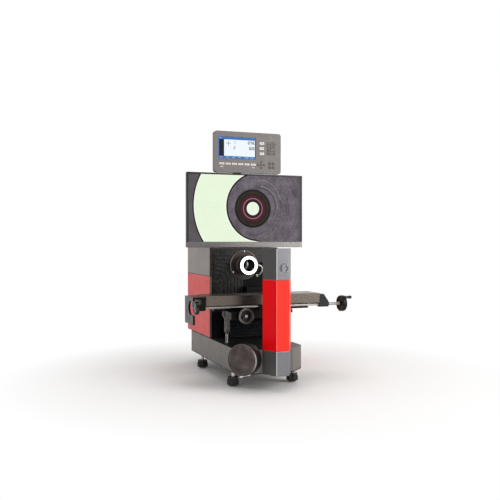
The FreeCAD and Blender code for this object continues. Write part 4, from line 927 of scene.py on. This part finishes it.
def add_cap_screws():
    """Hexagon socket screws where covers and brackets are held."""
    steel = metal("cap_screw", srgb("8f8b88"), 0.3)
    black = metal("black_screw", srgb("2a2928"), 0.34)
    low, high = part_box("rear_panel")
    heights = (low.z + 9 * MM, (low.z + high.z) / 2, high.z - 9 * MM)
    spots = [Vector((x, high.y, z)) for x in (low.x + 9 * MM, high.x - 9 * MM) for z in heights]
    screws("rear_screws", spots, REAR, 3.2 * MM, steel, "frame")

    low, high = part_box("end_bracket_right")
    spot = Vector((low.x + 12 * MM, low.y + 2 * MM, high.z - 20 * MM))
    screws("bracket_screws", [spot], FRONT, 3.4 * MM, black, "table")

    low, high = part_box("monitor_post")
    step = 10 * MM
    foot_top = low.z + 8 * MM
    ends = (low.x + step, high.x - step)
    spots = [Vector((x, y, foot_top)) for x in ends for y in (low.y + step, high.y - step)]
    screws("post_screws", spots, UP, 4 * MM, steel, "frame")


def build_stage():
    """Pale floor that fades to white far from the machine."""
    bm = bmesh.new()
    bmesh.ops.create_grid(bm, x_segments=2, y_segments=2, size=15)
    floor = bpy.data.objects.new("floor", mesh_from("floor", bm))
    floor.location.z = -0.5 * MM
    scene.collection.objects.link(floor)
    s = Shader("floor_pale")
    s.link(s.mottled(srgb("e9e6e4"), 0.012, 3, 3), "Base Color")
    s.fixed(roughness=0.7)
    glow = s.add("ShaderNodeEmission", Strength=1.0)
    reach = s.add("ShaderNodeVectorMath", operation="LENGTH")
    s.set(reach.inputs[0], s.place)
    far = s.spread(reach.outputs["Value"], 0.0, 1.0, 0.4, 1.1)
    path = s.add("ShaderNodeLightPath")
    seen = s.math("MAXIMUM", path.outputs["Is Camera Ray"], path.outputs["Is Glossy Ray"])
    seen = s.math("MAXIMUM", seen, path.outputs["Is Transmission Ray"])
    blend = s.add("ShaderNodeMixShader", Fac=s.math("MULTIPLY", far, seen))
    s.set(blend.inputs[1], s.surface.outputs[0])
    s.set(blend.inputs[2], glow.outputs[0])
    s.tree.links.new(blend.outputs[0], s.tree.nodes["Material Output"].inputs["Surface"])
    floor.data.materials.append(s.material)


def build_world():
    """White backdrop, a dim room in front of the machine for reflections, and soft light all round."""
    world = bpy.data.worlds.new("studio")
    scene.world = world
    world.use_nodes = True
    tree = world.node_tree
    background = tree.nodes["Background"]
    background.inputs["Color"].default_value = (1, 1, 1, 1)
    rays = tree.nodes.new("ShaderNodeLightPath")
    parts = tree.nodes.new("ShaderNodeSeparateXYZ")
    tree.links.new(tree.nodes.new("ShaderNodeTexCoord").outputs["Generated"], parts.inputs[0])

    def between(factor, first, second, start=0.0, end=1.0):
        node = tree.nodes.new("ShaderNodeMapRange")
        tree.links.new(factor, node.inputs["Value"])
        node.inputs["From Min"].default_value = start
        node.inputs["From Max"].default_value = end
        for name, value in (("To Min", first), ("To Max", second)):
            if isinstance(value, bpy.types.NodeSocket):
                tree.links.new(value, node.inputs[name])
            else:
                node.inputs[name].default_value = value
        return node.outputs["Result"]

    room = between(parts.outputs["Y"], ROOM_LIGHT, 1.0, 0.1, 0.6)
    level = between(rays.outputs["Is Glossy Ray"], WORLD_LIGHT, room)
    level = between(rays.outputs["Is Transmission Ray"], level, 1.0)
    level = between(rays.outputs["Is Camera Ray"], level, 1.0)
    tree.links.new(level, background.inputs["Strength"])


def add_softbox(name, place, target, size, power):
    """Large rectangular lamp that faces a target."""
    data = bpy.data.lights.new(name, "AREA")
    data.shape = "RECTANGLE"
    data.size, data.size_y = size
    data.energy = power
    lamp = bpy.data.objects.new(name, data)
    lamp.location = place
    lamp.rotation_euler = (Vector(target) - Vector(place)).to_track_quat("-Z", "Y").to_euler()
    scene.collection.objects.link(lamp)


build_lead()
dress_nodes()
build_monitor_picture()
build_readout_picture()
build_key_marks()
add_cap_screws()
build_stage()
build_world()
add_softbox("key", (2.0, -2.52, 1.5), (0, 0, 0.5), (2.0, 2.2), 85)
add_softbox("fill", (-2.4, -2.6, 1.8), (0, 0, 0.4), (2.2, 2.2), 25)
add_softbox("top", (0, 0.2, 3.2), (0, 0, 0), (2.4, 2.4), 30)
